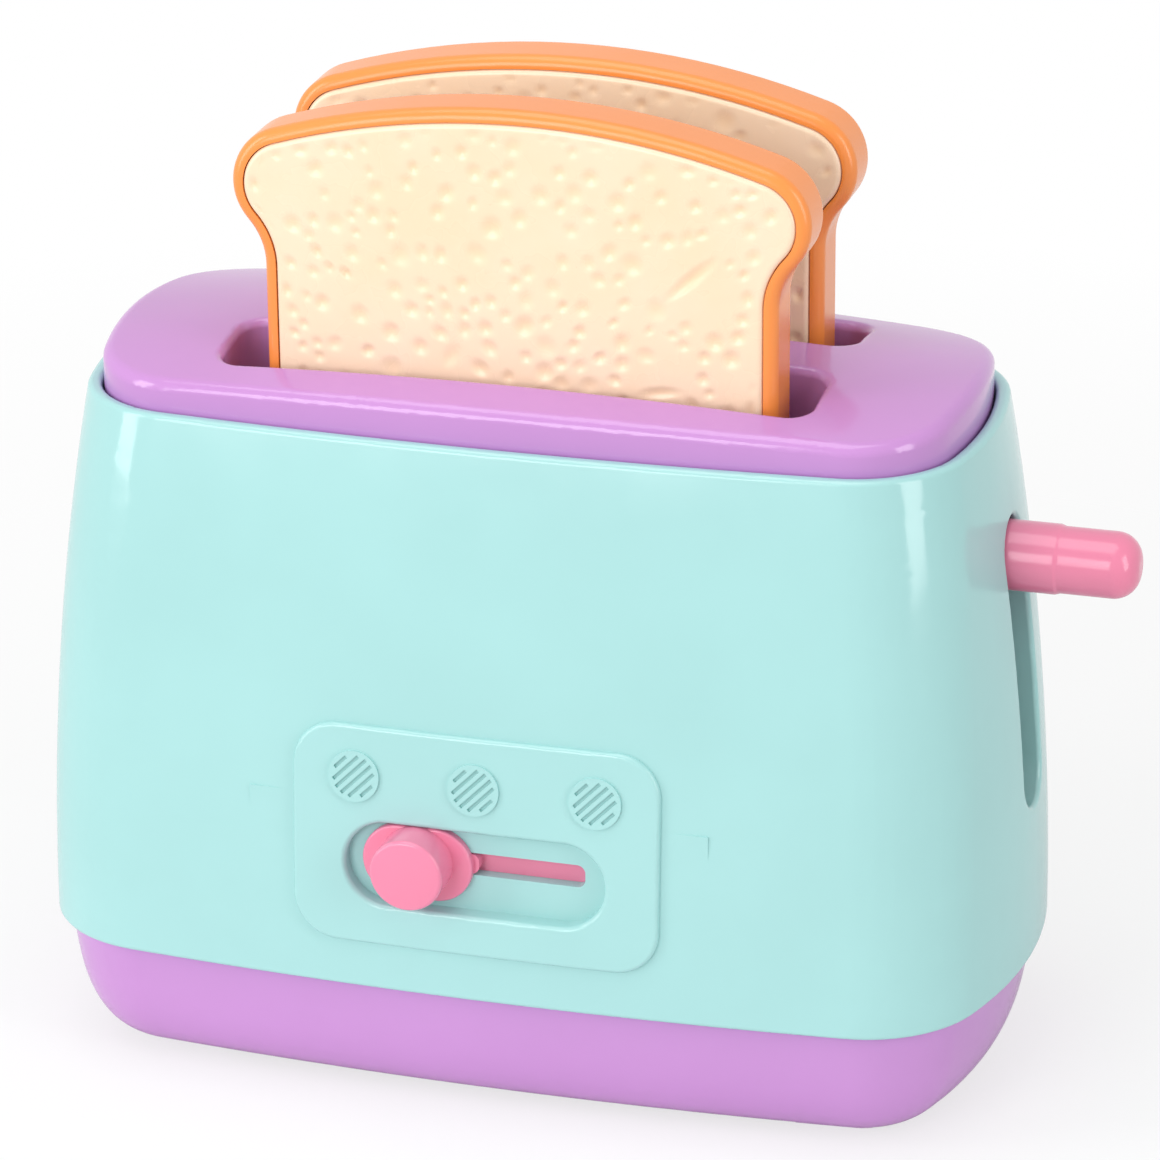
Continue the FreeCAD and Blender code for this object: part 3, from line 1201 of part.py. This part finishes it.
def slice_outline(name, inset, y):
    """A bread slice's outline, inset evenly, in an upright plane."""
    sketch = free_sketch(name, x="slice_shift", y=y, z="shelf_height", turn=FACING_FRONT)
    side, foot, ear, neck, crest, bottom = [
        value(text)
        for text in (
            f"slice_foot_width / 2 - {inset}",
            f"slice_foot_radius - {inset}",
            f"slice_ear_radius - {inset}",
            f"slice_neck_radius + {inset}",
            f"slice_crown_radius - {inset}",
            inset,
        )
    ]
    ear_x = value("slice_ear_width / 2 - slice_ear_radius")
    ear_z = value("slice_ear_height")
    neck_x = side + neck
    neck_z = ear_z - math.sqrt((neck + ear) ** 2 - (neck_x - ear_x) ** 2)
    crest_z = ear_z - math.sqrt((crest - ear) ** 2 - ear_x**2)
    hollow = math.atan2(ear_z - neck_z, ear_x - neck_x)
    lean = math.atan2(ear_z - crest_z, ear_x)
    turn = math.pi
    foot_x, foot_z = side - foot, bottom + foot
    sketch.addGeometry(line((-foot_x, bottom), (foot_x, bottom)), False)
    sketch.addGeometry(arc((foot_x, foot_z), foot, -turn / 2, 0), False)
    sketch.addGeometry(line((side, foot_z), (side, neck_z)), False)
    sketch.addGeometry(arc((neck_x, neck_z), neck, hollow, turn), False)
    sketch.addGeometry(arc((ear_x, ear_z), ear, hollow - turn, lean), False)
    sketch.addGeometry(arc((0, crest_z), crest, lean, turn - lean), False)
    sketch.addGeometry(arc((-ear_x, ear_z), ear, turn - lean, 2 * turn - hollow), False)
    sketch.addGeometry(arc((-neck_x, neck_z), neck, 0, turn - hollow), False)
    sketch.addGeometry(line((-side, neck_z), (-side, foot_z)), False)
    sketch.addGeometry(arc((-foot_x, foot_z), foot, turn, 1.5 * turn), False)
    ends = [(2, 1), (2, 1), (2, 2), (1, 1), (2, 1), (2, 1), (2, 2), (1, 1), (2, 1), (2, 1)]
    for index, (end, start) in enumerate(ends):
        sketch.addConstraint(Constraint("Tangent", index, end, (index + 1) % 10, start))
    sketch.addConstraint(
        [
            Constraint("Horizontal", 0),
            Constraint("Vertical", 2),
            Constraint("Vertical", 8),
            Constraint("Equal", 1, 9),
            Constraint("Equal", 3, 7),
            Constraint("Equal", 4, 6),
            Constraint("PointOnObject", 5, 3, -2),
        ]
    )
    half_width = f"slice_foot_width / 2 - {inset}"
    add_named(sketch, "right", Constraint("DistanceX", -1, 1, 2, 1, side), half_width)
    add_named(sketch, "left", Constraint("DistanceX", 8, 1, -1, 1, side), half_width)
    add_named(sketch, "bottom", Constraint("DistanceY", -1, 1, 0, 1, bottom), inset)
    add_named(sketch, "foot", Constraint("Radius", 1, foot), f"slice_foot_radius - {inset}")
    add_named(sketch, "ear", Constraint("Radius", 4, ear), f"slice_ear_radius - {inset}")
    add_named(sketch, "neck", Constraint("Radius", 3, neck), f"slice_neck_radius + {inset}")
    add_named(sketch, "crest", Constraint("Radius", 5, crest), f"slice_crown_radius - {inset}")
    ear_across = "slice_ear_width / 2 - slice_ear_radius"
    add_named(sketch, "ear_across", Constraint("DistanceX", -1, 1, 4, 3, ear_x), ear_across)
    add_named(sketch, "ear_right", Constraint("DistanceY", -1, 1, 4, 3, ear_z), "slice_ear_height")
    add_named(sketch, "ear_left", Constraint("DistanceY", -1, 1, 6, 3, ear_z), "slice_ear_height")
    return sketch


def make_slice(name, side):
    """One slice: a crust with a panel of crumb let into either face."""
    middle = f"{side} * slice_pitch / 2"
    half = "slice_thickness / 2"
    block = extrude(f"{name}_block", slice_outline(f"{name}_outline", "0", f"{middle} + {half}"), "slice_thickness")
    front, back = value(f"{middle} - {half}"), value(f"{middle} + {half}")
    rounded = round_edges(
        f"{name}_rounded",
        block,
        "crust_round",
        lambda point: abs(point.y - front) < 0.01 or abs(point.y - back) < 0.01,
    )
    opening = extrude(
        f"{name}_opening",
        slice_outline(f"{name}_opening_outline", "(crust_rim + crumb_shelf)", f"{middle} + {half} + 1"),
        "slice_thickness + 2",
    )
    seats = [
        extrude(
            f"{name}_{face}_seat",
            slice_outline(f"{name}_{face}_seat_outline", "crust_rim", start),
            "crumb_seat + 1",
        )
        for face, start in (
            ("front", f"{middle} - {half} + crumb_seat"),
            ("back", f"{middle} + {half} + 1"),
        )
    ]
    crust = cut(f"{name}_slice_crust", rounded, [opening] + seats)
    panels = []
    for face, start in (
        ("front", f"{middle} - {half} + crumb_seat"),
        ("back", f"{middle} + {half} + crumb_proud"),
    ):
        plain = extrude(
            f"{name}_{face}_crumb_plain",
            slice_outline(f"{name}_{face}_crumb_outline", "(crust_rim + crumb_gap)", start),
            "crumb_seat + crumb_proud",
        )
        outside = value(f"{start} - crumb_seat - crumb_proud") if face == "front" else value(start)
        panels.append(
            round_edges(
                f"{name}_slice_{face}_crumb",
                plain,
                "crumb_round",
                lambda point, outside=outside: abs(point.y - outside) < 0.01,
            )
        )
    return [crust] + panels


nodes = [
    make_body_shell(),
    make_top_cover(),
    make_base_tray(),
    make_guide_rods(),
    make_return_springs(),
    make_bread_carriage(),
    make_lever(),
    make_catch_leaf(),
    make_catch_rivet(),
    make_slider_knob(),
    make_slide_plate(),
]
nodes += make_slice("front", -1)
nodes += make_slice("back", 1)
housing_screw = ("screw_radius", "screw_head_radius", "screw_head_height")
small_screw = ("small_screw_radius", "small_head_radius", "small_head_height", "small_screw_length")
TOWARDS_LEVER = Rotation(Vector(0, 1, 0), 90)
nodes += [
    screw_group(
        "cover_screws",
        housing_screw + ("cover_screw_length",),
        [(x, y, ledge_bottom) for x, y in mirrored_places(cover_boss_x, "cover_boss_spacing / 2")],
    ),
    screw_group(
        "base_screws",
        housing_screw + ("screw_length",),
        [(x, y, "spring_seat") for x, y in mirrored_places(post_x, post_y)],
    ),
    screw_group(
        "lever_screws",
        small_screw,
        [(arm_x, f"{side} * lever_screw_spacing / 2", lever_height) for side in (-1, 1)],
        TOWARDS_LEVER,
    ),
    screw_group("slider_screw", small_screw, [(knob_middle, plate_back, slider_middle)], FACING_FRONT),
]

doc.recompute()
for item in doc.Objects:
    if "Invalid" in item.State or "Error" in item.State:
        print(f"{item.Name} did not recompute")
os.makedirs("parts", exist_ok=True)
for item in nodes:
    shape = item.Shape
    if shape.isNull() or not shape.isValid():
        raise RuntimeError(f"{item.Label} has no valid shape")
    shape.exportStep(f"parts/{item.Label}.step")
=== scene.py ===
"""Toy pop-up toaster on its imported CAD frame: surfaces, dimpled crumb panels, light and camera."""

import math

import bmesh
import bpy
import numpy as np
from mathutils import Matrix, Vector


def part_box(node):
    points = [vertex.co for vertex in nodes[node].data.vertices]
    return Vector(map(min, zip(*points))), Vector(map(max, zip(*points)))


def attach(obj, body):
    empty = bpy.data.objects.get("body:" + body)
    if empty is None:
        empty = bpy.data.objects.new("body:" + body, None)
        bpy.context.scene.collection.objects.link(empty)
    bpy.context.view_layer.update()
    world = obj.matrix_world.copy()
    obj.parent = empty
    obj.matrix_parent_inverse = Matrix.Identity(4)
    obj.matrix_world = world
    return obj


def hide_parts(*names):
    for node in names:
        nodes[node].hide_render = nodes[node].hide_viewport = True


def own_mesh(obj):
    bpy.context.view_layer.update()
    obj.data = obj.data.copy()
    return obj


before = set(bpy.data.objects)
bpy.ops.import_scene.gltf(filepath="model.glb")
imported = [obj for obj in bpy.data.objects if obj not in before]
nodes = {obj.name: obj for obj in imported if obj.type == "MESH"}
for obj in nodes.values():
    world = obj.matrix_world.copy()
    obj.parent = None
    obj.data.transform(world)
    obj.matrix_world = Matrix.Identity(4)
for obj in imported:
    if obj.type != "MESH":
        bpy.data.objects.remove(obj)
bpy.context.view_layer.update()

# Base colours, linear.
TEAL = (0.355, 0.631, 0.621)
PURPLE = (0.531, 0.254, 0.583)
PINK = (0.797, 0.225, 0.358)
CRUST = (0.900, 0.284, 0.059)
CRUMB = (0.901, 0.704, 0.513)
CARRIAGE = (0.780, 0.780, 0.760)
STEEL = (0.620, 0.620, 0.640)

FINISHES = {
    "body_shell": "teal",
    "top_cover": "purple",
    "base_tray": "purple",
    "lever": "pink",
    "slider_knob": "pink",
    "slide_plate": "pink",
    "bread_carriage": "carriage",
    "front_slice_crust": "crust",
    "front_slice_front_crumb": "crumb",
    "front_slice_back_crumb": "crumb",
    "back_slice_crust": "crust",
    "back_slice_front_crumb": "crumb",
    "back_slice_back_crumb": "crumb",
}

# A slice's outline in mm, from the middle of its foot.
HALF_WIDTH = 45.8
FOOT_RADIUS = 7.3
NECK_RADIUS = 11.7
EAR = (41.1, 84.2)
EAR_RADIUS = 10.3
CROWN_RADIUS = 145.3
CROWN_CENTRE = -44.39
PANEL_INSET = 2.4
PANEL_ROUND = 1.0
PANEL_MIDDLE = (0.0, 50.0)
RING_POINTS = 704
RING_STEPS = (44, 22, 11, 6, 3)

scene = bpy.context.scene


# Surfaces


def new_surface(name):
    """A material with a Principled shader: the material, its node tree and the shader."""
    material = bpy.data.materials.new(name)
    material.use_nodes = True
    tree = material.node_tree
    tree.nodes.clear()
    output = tree.nodes.new("ShaderNodeOutputMaterial")
    surface = tree.nodes.new("ShaderNodeBsdfPrincipled")
    tree.links.new(surface.outputs["BSDF"], output.inputs["Surface"])
    return material, tree, surface


def noise(tree, scale, detail=3.0):
    """Noise in the piece's own coordinates, with so many lumps to the metre."""
    where = tree.nodes.new("ShaderNodeTexCoord")
    made = tree.nodes.new("ShaderNodeTexNoise")
    made.inputs["Scale"].default_value = scale
    made.inputs["Detail"].default_value = detail
    tree.links.new(where.outputs["Object"], made.inputs["Vector"])
    return made.outputs["Fac"]


def spread(tree, factor, low, high, start, end):
    """The factor's range from low to high, mapped to start to end."""
    made = tree.nodes.new("ShaderNodeMapRange")
    for socket, number in (
        ("From Min", low),
        ("From Max", high),
        ("To Min", start),
        ("To Max", end),
    ):
        made.inputs[socket].default_value = number
    tree.links.new(factor, made.inputs["Value"])
    return made.outputs["Result"]


def mixed(tree, factor, first, second):
    """The first colour at factor 0 and the second at 1; either is three numbers or a socket."""
    made = tree.nodes.new("ShaderNodeMix")
    made.data_type = "RGBA"
    tree.links.new(factor, made.inputs[0])
    for socket, colour in ((made.inputs[6], first), (made.inputs[7], second)):
        if isinstance(colour, tuple):
            socket.default_value = (*colour, 1.0)
        else:
            tree.links.new(colour, socket)
    return made.outputs[2]


def grain(tree, surface, height, strength, depth):
    """Fine relief of this depth in metres."""
    made = tree.nodes.new("ShaderNodeBump")
    made.inputs["Strength"].default_value = strength
    made.inputs["Distance"].default_value = depth
    tree.links.new(height, made.inputs["Height"])
    tree.links.new(made.outputs["Normal"], surface.inputs["Normal"])


def darker(colour, share):
    return tuple(channel * share for channel in colour)


def plastic(name, colour, rough, relief=0.25):
    """Moulded plastic: faint clouding in the colour, slightly wavy gloss and an even sheen."""
    material, tree, surface = new_surface(name)
    cloud = spread(tree, noise(tree, 28.0), 0.35, 0.65, 0.0, 1.0)
    tree.links.new(mixed(tree, cloud, colour, darker(colour, 0.965)), surface.inputs["Base Color"])
    gloss = spread(tree, noise(tree, 90.0, 2.0), 0.3, 0.7, rough - 0.02, rough + 0.03)
    tree.links.new(gloss, surface.inputs["Roughness"])
    grain(tree, surface, noise(tree, 34.0, 1.0), relief, 0.0012)
    surface.inputs["IOR"].default_value = 1.5
    return material


def crumb_plastic(name, colour, rough):
    """Crumb: plastic with painted shade in its dents, its colour mixed towards a deeper tan by the dent's
    depth.
    """
    material, tree, surface = new_surface(name)
    dent = tree.nodes.new("ShaderNodeAttribute")
    dent.attribute_name = "dent"
    cloud = spread(tree, noise(tree, 60.0), 0.3, 0.7, 0.0, 1.0)
    toasted = mixed(tree, cloud, colour, (colour[0] * 0.985, colour[1] * 0.955, colour[2] * 0.90))
    # Painted shade: the deeper the dent, the more its colour goes to the darker tan below, standing in for
    # shade in the dents.
    painted_dent_shade = spread(tree, dent.outputs["Fac"], 0.0, 1.0, 0.0, 0.6)
    deep = (colour[0] * 0.97, colour[1] * 0.88, colour[2] * 0.74)
    tree.links.new(mixed(tree, painted_dent_shade, toasted, deep), surface.inputs["Base Color"])
    gloss = spread(tree, noise(tree, 150.0, 2.0), 0.3, 0.7, rough - 0.03, rough + 0.04)
    tree.links.new(gloss, surface.inputs["Roughness"])
    grain(tree, surface, noise(tree, 110.0, 2.0), 0.3, 0.0006)
    surface.inputs["IOR"].default_value = 1.5
    return material


def metal(name, colour, rough):
    """Drawn steel with fine streaks."""
    material, tree, surface = new_surface(name)
    streak = noise(tree, 700.0, 4.0)
    tree.links.new(mixed(tree, streak, colour, darker(colour, 0.85)), surface.inputs["Base Color"])
    tree.links.new(spread(tree, streak, 0.3, 0.7, rough - 0.05, rough + 0.08), surface.inputs["Roughness"])
    surface.inputs["Metallic"].default_value = 1.0
    return material


surfaces = {
    "teal": plastic("teal_plastic", TEAL, 0.13),
    "purple": plastic("purple_plastic", PURPLE, 0.12),
    "pink": plastic("pink_plastic", PINK, 0.14),
    "crust": plastic("crust_plastic", CRUST, 0.24),
    "crumb": crumb_plastic("crumb_plastic", CRUMB, 0.27),
    "carriage": plastic("carriage_plastic", CARRIAGE, 0.35),
    "steel": metal("steel", STEEL, 0.28),
}


def soften(obj, degrees=35.0):
    """Smooth shading over edges flatter than this angle, by corner normals alone: no vertex moves."""
    mesh = obj.data
    corners, faces = len(mesh.loops), len(mesh.polygons)
    vertex, total = np.empty(corners, np.int32), np.empty(faces, np.int32)
    places, normal = np.empty(len(mesh.vertices) * 3, np.float32), np.empty(faces * 3, np.float32)
    area = np.empty(faces, np.float32)
    mesh.loops.foreach_get("vertex_index", vertex)
    mesh.vertices.foreach_get("co", places)
    mesh.polygons.foreach_get("normal", normal)
    mesh.polygons.foreach_get("area", area)
    mesh.polygons.foreach_get("loop_total", total)
    rounded = np.round(places.reshape(-1, 3).astype(float) * 1e6).astype(np.int64)
    _, spot = np.unique(rounded, axis=0, return_inverse=True)
    spot = spot.ravel()[vertex]
    order = np.argsort(spot, kind="stable")
    face = np.repeat(np.arange(faces), total)[order]
    sizes = np.bincount(spot)
    first = np.cumsum(sizes) - sizes
    reach = sizes[spot[order]]
    mine = np.repeat(np.arange(corners), reach)
    step = np.arange(len(mine)) - np.repeat(np.cumsum(reach) - reach, reach)
    other = first[spot[order]][mine] + step
    way, weight = normal.reshape(-1, 3)[face].astype(float), area[face].astype(float)
    alike = np.einsum("ij,ij->i", way[mine], way[other]) > math.cos(math.radians(degrees))
    share = np.where(alike, weight[other], 0.0)
    summed = np.stack(
        [np.bincount(mine, share * way[other, axis], corners) for axis in range(3)], axis=1
    )
    length = np.linalg.norm(summed, axis=1, keepdims=True)
    summed = np.where(length > 1e-18, summed / np.maximum(length, 1e-18), way)
    result = np.empty_like(summed)
    result[order] = summed
    mesh.polygons.foreach_set("use_smooth", np.ones(faces, bool))
    mesh.normals_split_custom_set(result.tolist())


for name, obj in nodes.items():
    surface = surfaces[FINISHES.get(name, "steel")]
    for index in range(len(obj.data.materials)):
        obj.data.materials[index] = surface
    if not obj.data.materials:
        obj.data.materials.append(surface)
    soften(obj)


# Crumb panels


def sweep(centre, radius, start, end):
    """Points of an arc, with angles in degrees."""
    turn = np.radians(np.linspace(start, end, 120))
    return np.stack([centre[0] + radius * np.cos(turn), centre[1] + radius * np.sin(turn)], axis=1)


def panel_outline():
    """A crumb panel's outline at even steps, and the way inwards at each point."""
    inset = PANEL_INSET
    neck_x = HALF_WIDTH + NECK_RADIUS
    rise = math.sqrt((EAR_RADIUS + NECK_RADIUS) ** 2 - (neck_x - EAR[0]) ** 2)
    lean = math.degrees(math.atan2(rise, neck_x - EAR[0]))
    shoulder = math.degrees(math.atan2(EAR[1] - CROWN_CENTRE, EAR[0]))
    foot = (HALF_WIDTH - FOOT_RADIUS, FOOT_RADIUS)
    half = np.concatenate(
        [
            [[0.0, inset]],
            sweep(foot, FOOT_RADIUS - inset, -90, 0),
            sweep((neck_x, EAR[1] - rise), NECK_RADIUS + inset, 180, 180 - lean),
            sweep(EAR, EAR_RADIUS - inset, -lean, shoulder),
            sweep((0.0, CROWN_CENTRE), CROWN_RADIUS - inset, shoulder, 90),
        ]
    )
    whole = np.concatenate([half, (half * (-1, 1))[-2:0:-1]])
    closed = np.concatenate([whole, whole[:1]])
    gone = np.concatenate([[0.0], np.cumsum(np.linalg.norm(np.diff(closed, axis=0), axis=1))])
    even = np.arange(RING_POINTS) * gone[-1] / RING_POINTS
    edge = np.stack([np.interp(even, gone, closed[:, axis]) for axis in (0, 1)], axis=1)
    along = np.roll(edge, -1, axis=0) - np.roll(edge, 1, axis=0)
    along /= np.linalg.norm(along, axis=1, keepdims=True)
    return edge, np.stack([-along[:, 1], along[:, 0]], axis=1)


def dent_list(seed):
    """Dents of one face in mm: middle, half length, half width, turn and depth. Most are low down."""
    pick = np.random.default_rng(seed)
    made = [(31.0, 74.0, 7.0, 1.5, 0.75, 0.50)]
    for _ in range(7):
        made.append(
            (
                pick.uniform(-40, 40),
                pick.uniform(8, 90),
                pick.uniform(2.6, 4.6),
                pick.uniform(1.2, 1.7),
                pick.uniform(-1.4, 1.4),
                pick.uniform(0.3, 0.42),
            )
        )
    for _ in range(9000):
        u, w = pick.uniform(-48, 48), pick.uniform(3, 98)
        radius = pick.choice((1.2, 1.5, 1.8, 2.1, 2.5), p=(0.15, 0.25, 0.3, 0.2, 0.1))
        narrow, turn, deep = pick.uniform(0.8, 1.0), pick.uniform(0, 3), pick.uniform(0.3, 0.52)
        if len(made) > 420 or pick.random() > 0.5 + 0.5 * (1 - w / 98):
            continue
        if all(math.hypot(u - o[0], w - o[1]) > 0.8 * (radius + o[2]) + 0.3 for o in made):
            made.append((u, w, radius, radius * narrow, turn, deep))
    return made


def dent_depth(points, dents):
    """How far in the face lies at these points."""
    depth = np.zeros(len(points))
    for u, w, long, wide, turn, deep in dents:
        x, z = points[:, 0] - u, points[:, 1] - w
        along = (x * math.cos(turn) + z * math.sin(turn)) / long
        across = (z * math.cos(turn) - x * math.sin(turn)) / wide
        inside = np.clip(1 - along**2 - across**2, 0, 1)
        depth = np.maximum(depth, deep * inside**1.7)
    return depth


def stitched(first, count, second, inner):
    """Faces between a ring of points and the next one in, which has as many points or half."""
    if inner == count:
        return [
            (first + i, first + (i + 1) % count, second + (i + 1) % count, second + i)
            for i in range(count)
        ]
    made = []
    for i in range(inner):
        a, b, c = first + 2 * i, first + 2 * i + 1, first + (2 * i + 2) % count
        p, q = second + i, second + (i + 1) % inner
        made += [(a, b, p), (b, q, p), (b, c, q)]
    return made


def crumb_panel(node, body, outward, seed):
    """A crumb panel with dents in its face, which looks along Y this way, in the place of a CAD node."""
    low, high = (np.array(corner) * 1000 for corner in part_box(node))
    edge, inwards = panel_outline()
    rings = [(edge, high[1] - low[1], 0.0), (edge, PANEL_ROUND, 0.0)]
    for step in range(1, 6):
        turn = step * math.pi / 10
        moved = edge + inwards * PANEL_ROUND * (1 - math.cos(turn))
        rings.append((moved, PANEL_ROUND * (1 - math.sin(turn)), 0.0))
    middle = np.array(PANEL_MIDDLE)
    around = rings[-1][0] - middle
    for octave, steps in enumerate(RING_STEPS):
        for step in range(1, steps + 1):
            scale = 0.5**octave * (1 - 0.5 * step / steps)
            if step == steps:
                around = around[::2]
            fade = min(1.0, (1 - scale) * 45 / 0.9)
            rings.append((middle + around * scale, 0.0, fade))
    dents = dent_list(seed)
    places, sunk, faces, start = [], [], [], 0
    for points, depth, fade in rings:
        dent = dent_depth(points, dents) * fade if fade else np.zeros(len(points))
        sunk.append(dent)
        places.append(np.column_stack([points, depth + dent]))
    for ring, after in zip(places, places[1:]):
        faces += stitched(start, len(ring), start + len(ring), len(after))
        start += len(ring)
    last = len(places[-1])
    places.append(np.array([[*PANEL_MIDDLE, dent_depth(middle[None], dents)[0]]]))
    sunk.append(places[-1][:, 2])
    faces += [(start + i, start + (i + 1) % last, start + last) for i in range(last)]
    faces.append(tuple(range(RING_POINTS - 1, -1, -1)))
    flat = np.concatenate(places)
    face_y = high[1] if outward > 0 else low[1]
    x = (low[0] + high[0]) / 2 + flat[:, 0]
    y = face_y - outward * flat[:, 2]
    z = low[2] - PANEL_INSET + flat[:, 1]
    mesh = bpy.data.meshes.new(f"{node}_dented")
    mesh.from_pydata((np.stack([x, y, z], axis=1) / 1000).tolist(), [], faces)
    # The dent depth, which the crumb material uses to paint shade into the dents.
    layer = mesh.attributes.new("dent", "FLOAT", "POINT")
    layer.data.foreach_set("value", (np.concatenate(sunk) / 0.5).astype(np.float32))
    work = bmesh.new()
    work.from_mesh(mesh)
    bmesh.ops.recalc_face_normals(work, faces=work.faces)
    work.to_mesh(mesh)
    work.free()
    mesh.materials.append(surfaces["crumb"])
    obj = bpy.data.objects.new(f"{node}_dented", mesh)
    scene.collection.objects.link(obj)
    soften(obj, 50.0)
    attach(obj, body)
    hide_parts(node)
    return obj


crumb_panel("front_slice_front_crumb", "front_toast", -1, 11)
crumb_panel("front_slice_back_crumb", "front_toast", 1, 12)
crumb_panel("back_slice_front_crumb", "back_toast", -1, 13)
crumb_panel("back_slice_back_crumb", "back_toast", 1, 14)


# Return springs


def springs():
    """A copy of the CAD node's coils on the housing, in place of the node."""
    mesh = nodes["return_springs"].data.copy()
    obj = bpy.data.objects.new("return_spring_coils", mesh)
    scene.collection.objects.link(obj)
    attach(obj, "housing")
    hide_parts("return_springs")
    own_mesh(obj)


springs()


# Floor, light and camera


def make_floor():
    """A white floor that takes the shadow and fades into the background."""
    material = bpy.data.materials.new("floor")
    material.use_nodes = True
    tree = material.node_tree
    tree.nodes.clear()
    add, link = tree.nodes.new, tree.links.new
    output, matt, glow = (
        add("ShaderNodeOutputMaterial"),
        add("ShaderNodeBsdfDiffuse"),
        add("ShaderNodeEmission"),
    )
    matt.inputs["Color"].default_value = (0.86, 0.86, 0.86, 1.0)
    path, lifted = add("ShaderNodeLightPath"), add("ShaderNodeMath")
    lifted.operation = "MULTIPLY"
    lifted.inputs[1].default_value = 0.7
    link(path.outputs["Is Camera Ray"], lifted.inputs[0])
    lit = add("ShaderNodeMixShader")
    link(lifted.outputs[0], lit.inputs[0])
    link(matt.outputs[0], lit.inputs[1])
    link(glow.outputs[0], lit.inputs[2])
    place, far = add("ShaderNodeNewGeometry"), add("ShaderNodeVectorMath")
    far.operation = "LENGTH"
    link(place.outputs["Position"], far.inputs[0])
    fade = spread(tree, far.outputs["Value"], 0.15, 0.45, 0.0, 1.0)
    clear, whole = add("ShaderNodeBsdfTransparent"), add("ShaderNodeMixShader")
    link(fade, whole.inputs[0])
    link(lit.outputs[0], whole.inputs[1])
    link(clear.outputs[0], whole.inputs[2])
    link(whole.outputs[0], output.inputs["Surface"])
    mesh = bpy.data.meshes.new("floor")
    mesh.from_pydata([(-1, -1, 0), (1, -1, 0), (1, 1, 0), (-1, 1, 0)], [], [(0, 1, 2, 3)])
    mesh.materials.append(material)
    obj = bpy.data.objects.new("floor", mesh)
    obj.location.z = -0.00205
    scene.collection.objects.link(obj)


def make_world():
    """White where it is seen or mirrored, and a softer light for the rest."""
    world = bpy.data.worlds.new("studio")
    world.use_nodes = True
    tree = world.node_tree
    tree.nodes.clear()
    add, link = tree.nodes.new, tree.links.new
    output, path = add("ShaderNodeOutputWorld"), add("ShaderNodeLightPath")
    soft, white, whole = (
        add("ShaderNodeBackground"),
        add("ShaderNodeBackground"),
        add("ShaderNodeMixShader"),
    )
    soft.inputs["Color"].default_value = white.inputs["Color"].default_value = (1, 1, 1, 1)
    soft.inputs["Strength"].default_value = 0.5
    white.inputs["Strength"].default_value = 1.0
    seen = path.outputs["Is Camera Ray"]
    for ray in ("Is Glossy Ray", "Is Transmission Ray"):
        either = add("ShaderNodeMath")
        either.operation = "MAXIMUM"
        link(seen, either.inputs[0])
        link(path.outputs[ray], either.inputs[1])
        seen = either.outputs[0]
    link(seen, whole.inputs[0])
    link(soft.outputs[0], whole.inputs[1])
    link(white.outputs[0], whole.inputs[2])
    link(whole.outputs[0], output.inputs["Surface"])
    scene.world = world


def lamp(name, place, width, height, watts):
    """A soft box that looks at the toaster's middle."""
    data = bpy.data.lights.new(name, "AREA")
    data.shape = "RECTANGLE"
    data.size, data.size_y, data.energy = width, height, watts
    obj = bpy.data.objects.new(name, data)
    obj.location = place
    aim = Vector((0.0, 0.0, 0.08)) - Vector(place)
    obj.rotation_euler = aim.to_track_quat("-Z", "Y").to_euler()
    scene.collection.objects.link(obj)


make_floor()
make_world()
lamp("top_box", (-0.10, -0.20, 1.20), 0.9, 0.7, 5.0)
lamp("left_box", (-0.95, -0.60, 0.42), 0.35, 0.8, 4.5)
lamp("right_box", (1.00, -0.40, 0.42), 0.35, 0.8, 4.0)
lamp("front_box", (-0.42, -1.25, 0.52), 0.7, 0.7, 7.5)

camera = bpy.data.objects.new("camera", bpy.data.cameras.new("camera"))
camera.location = (0.26300, -0.86251, 0.45425)
camera.rotation_euler = [math.radians(a) for a in (67.67927741, 0.45811031, 16.42696596)]
camera.data.lens = 169.5244
camera.data.sensor_width = 36.0
scene.collection.objects.link(camera)
scene.camera = camera
scene.view_settings.view_transform = "Standard"
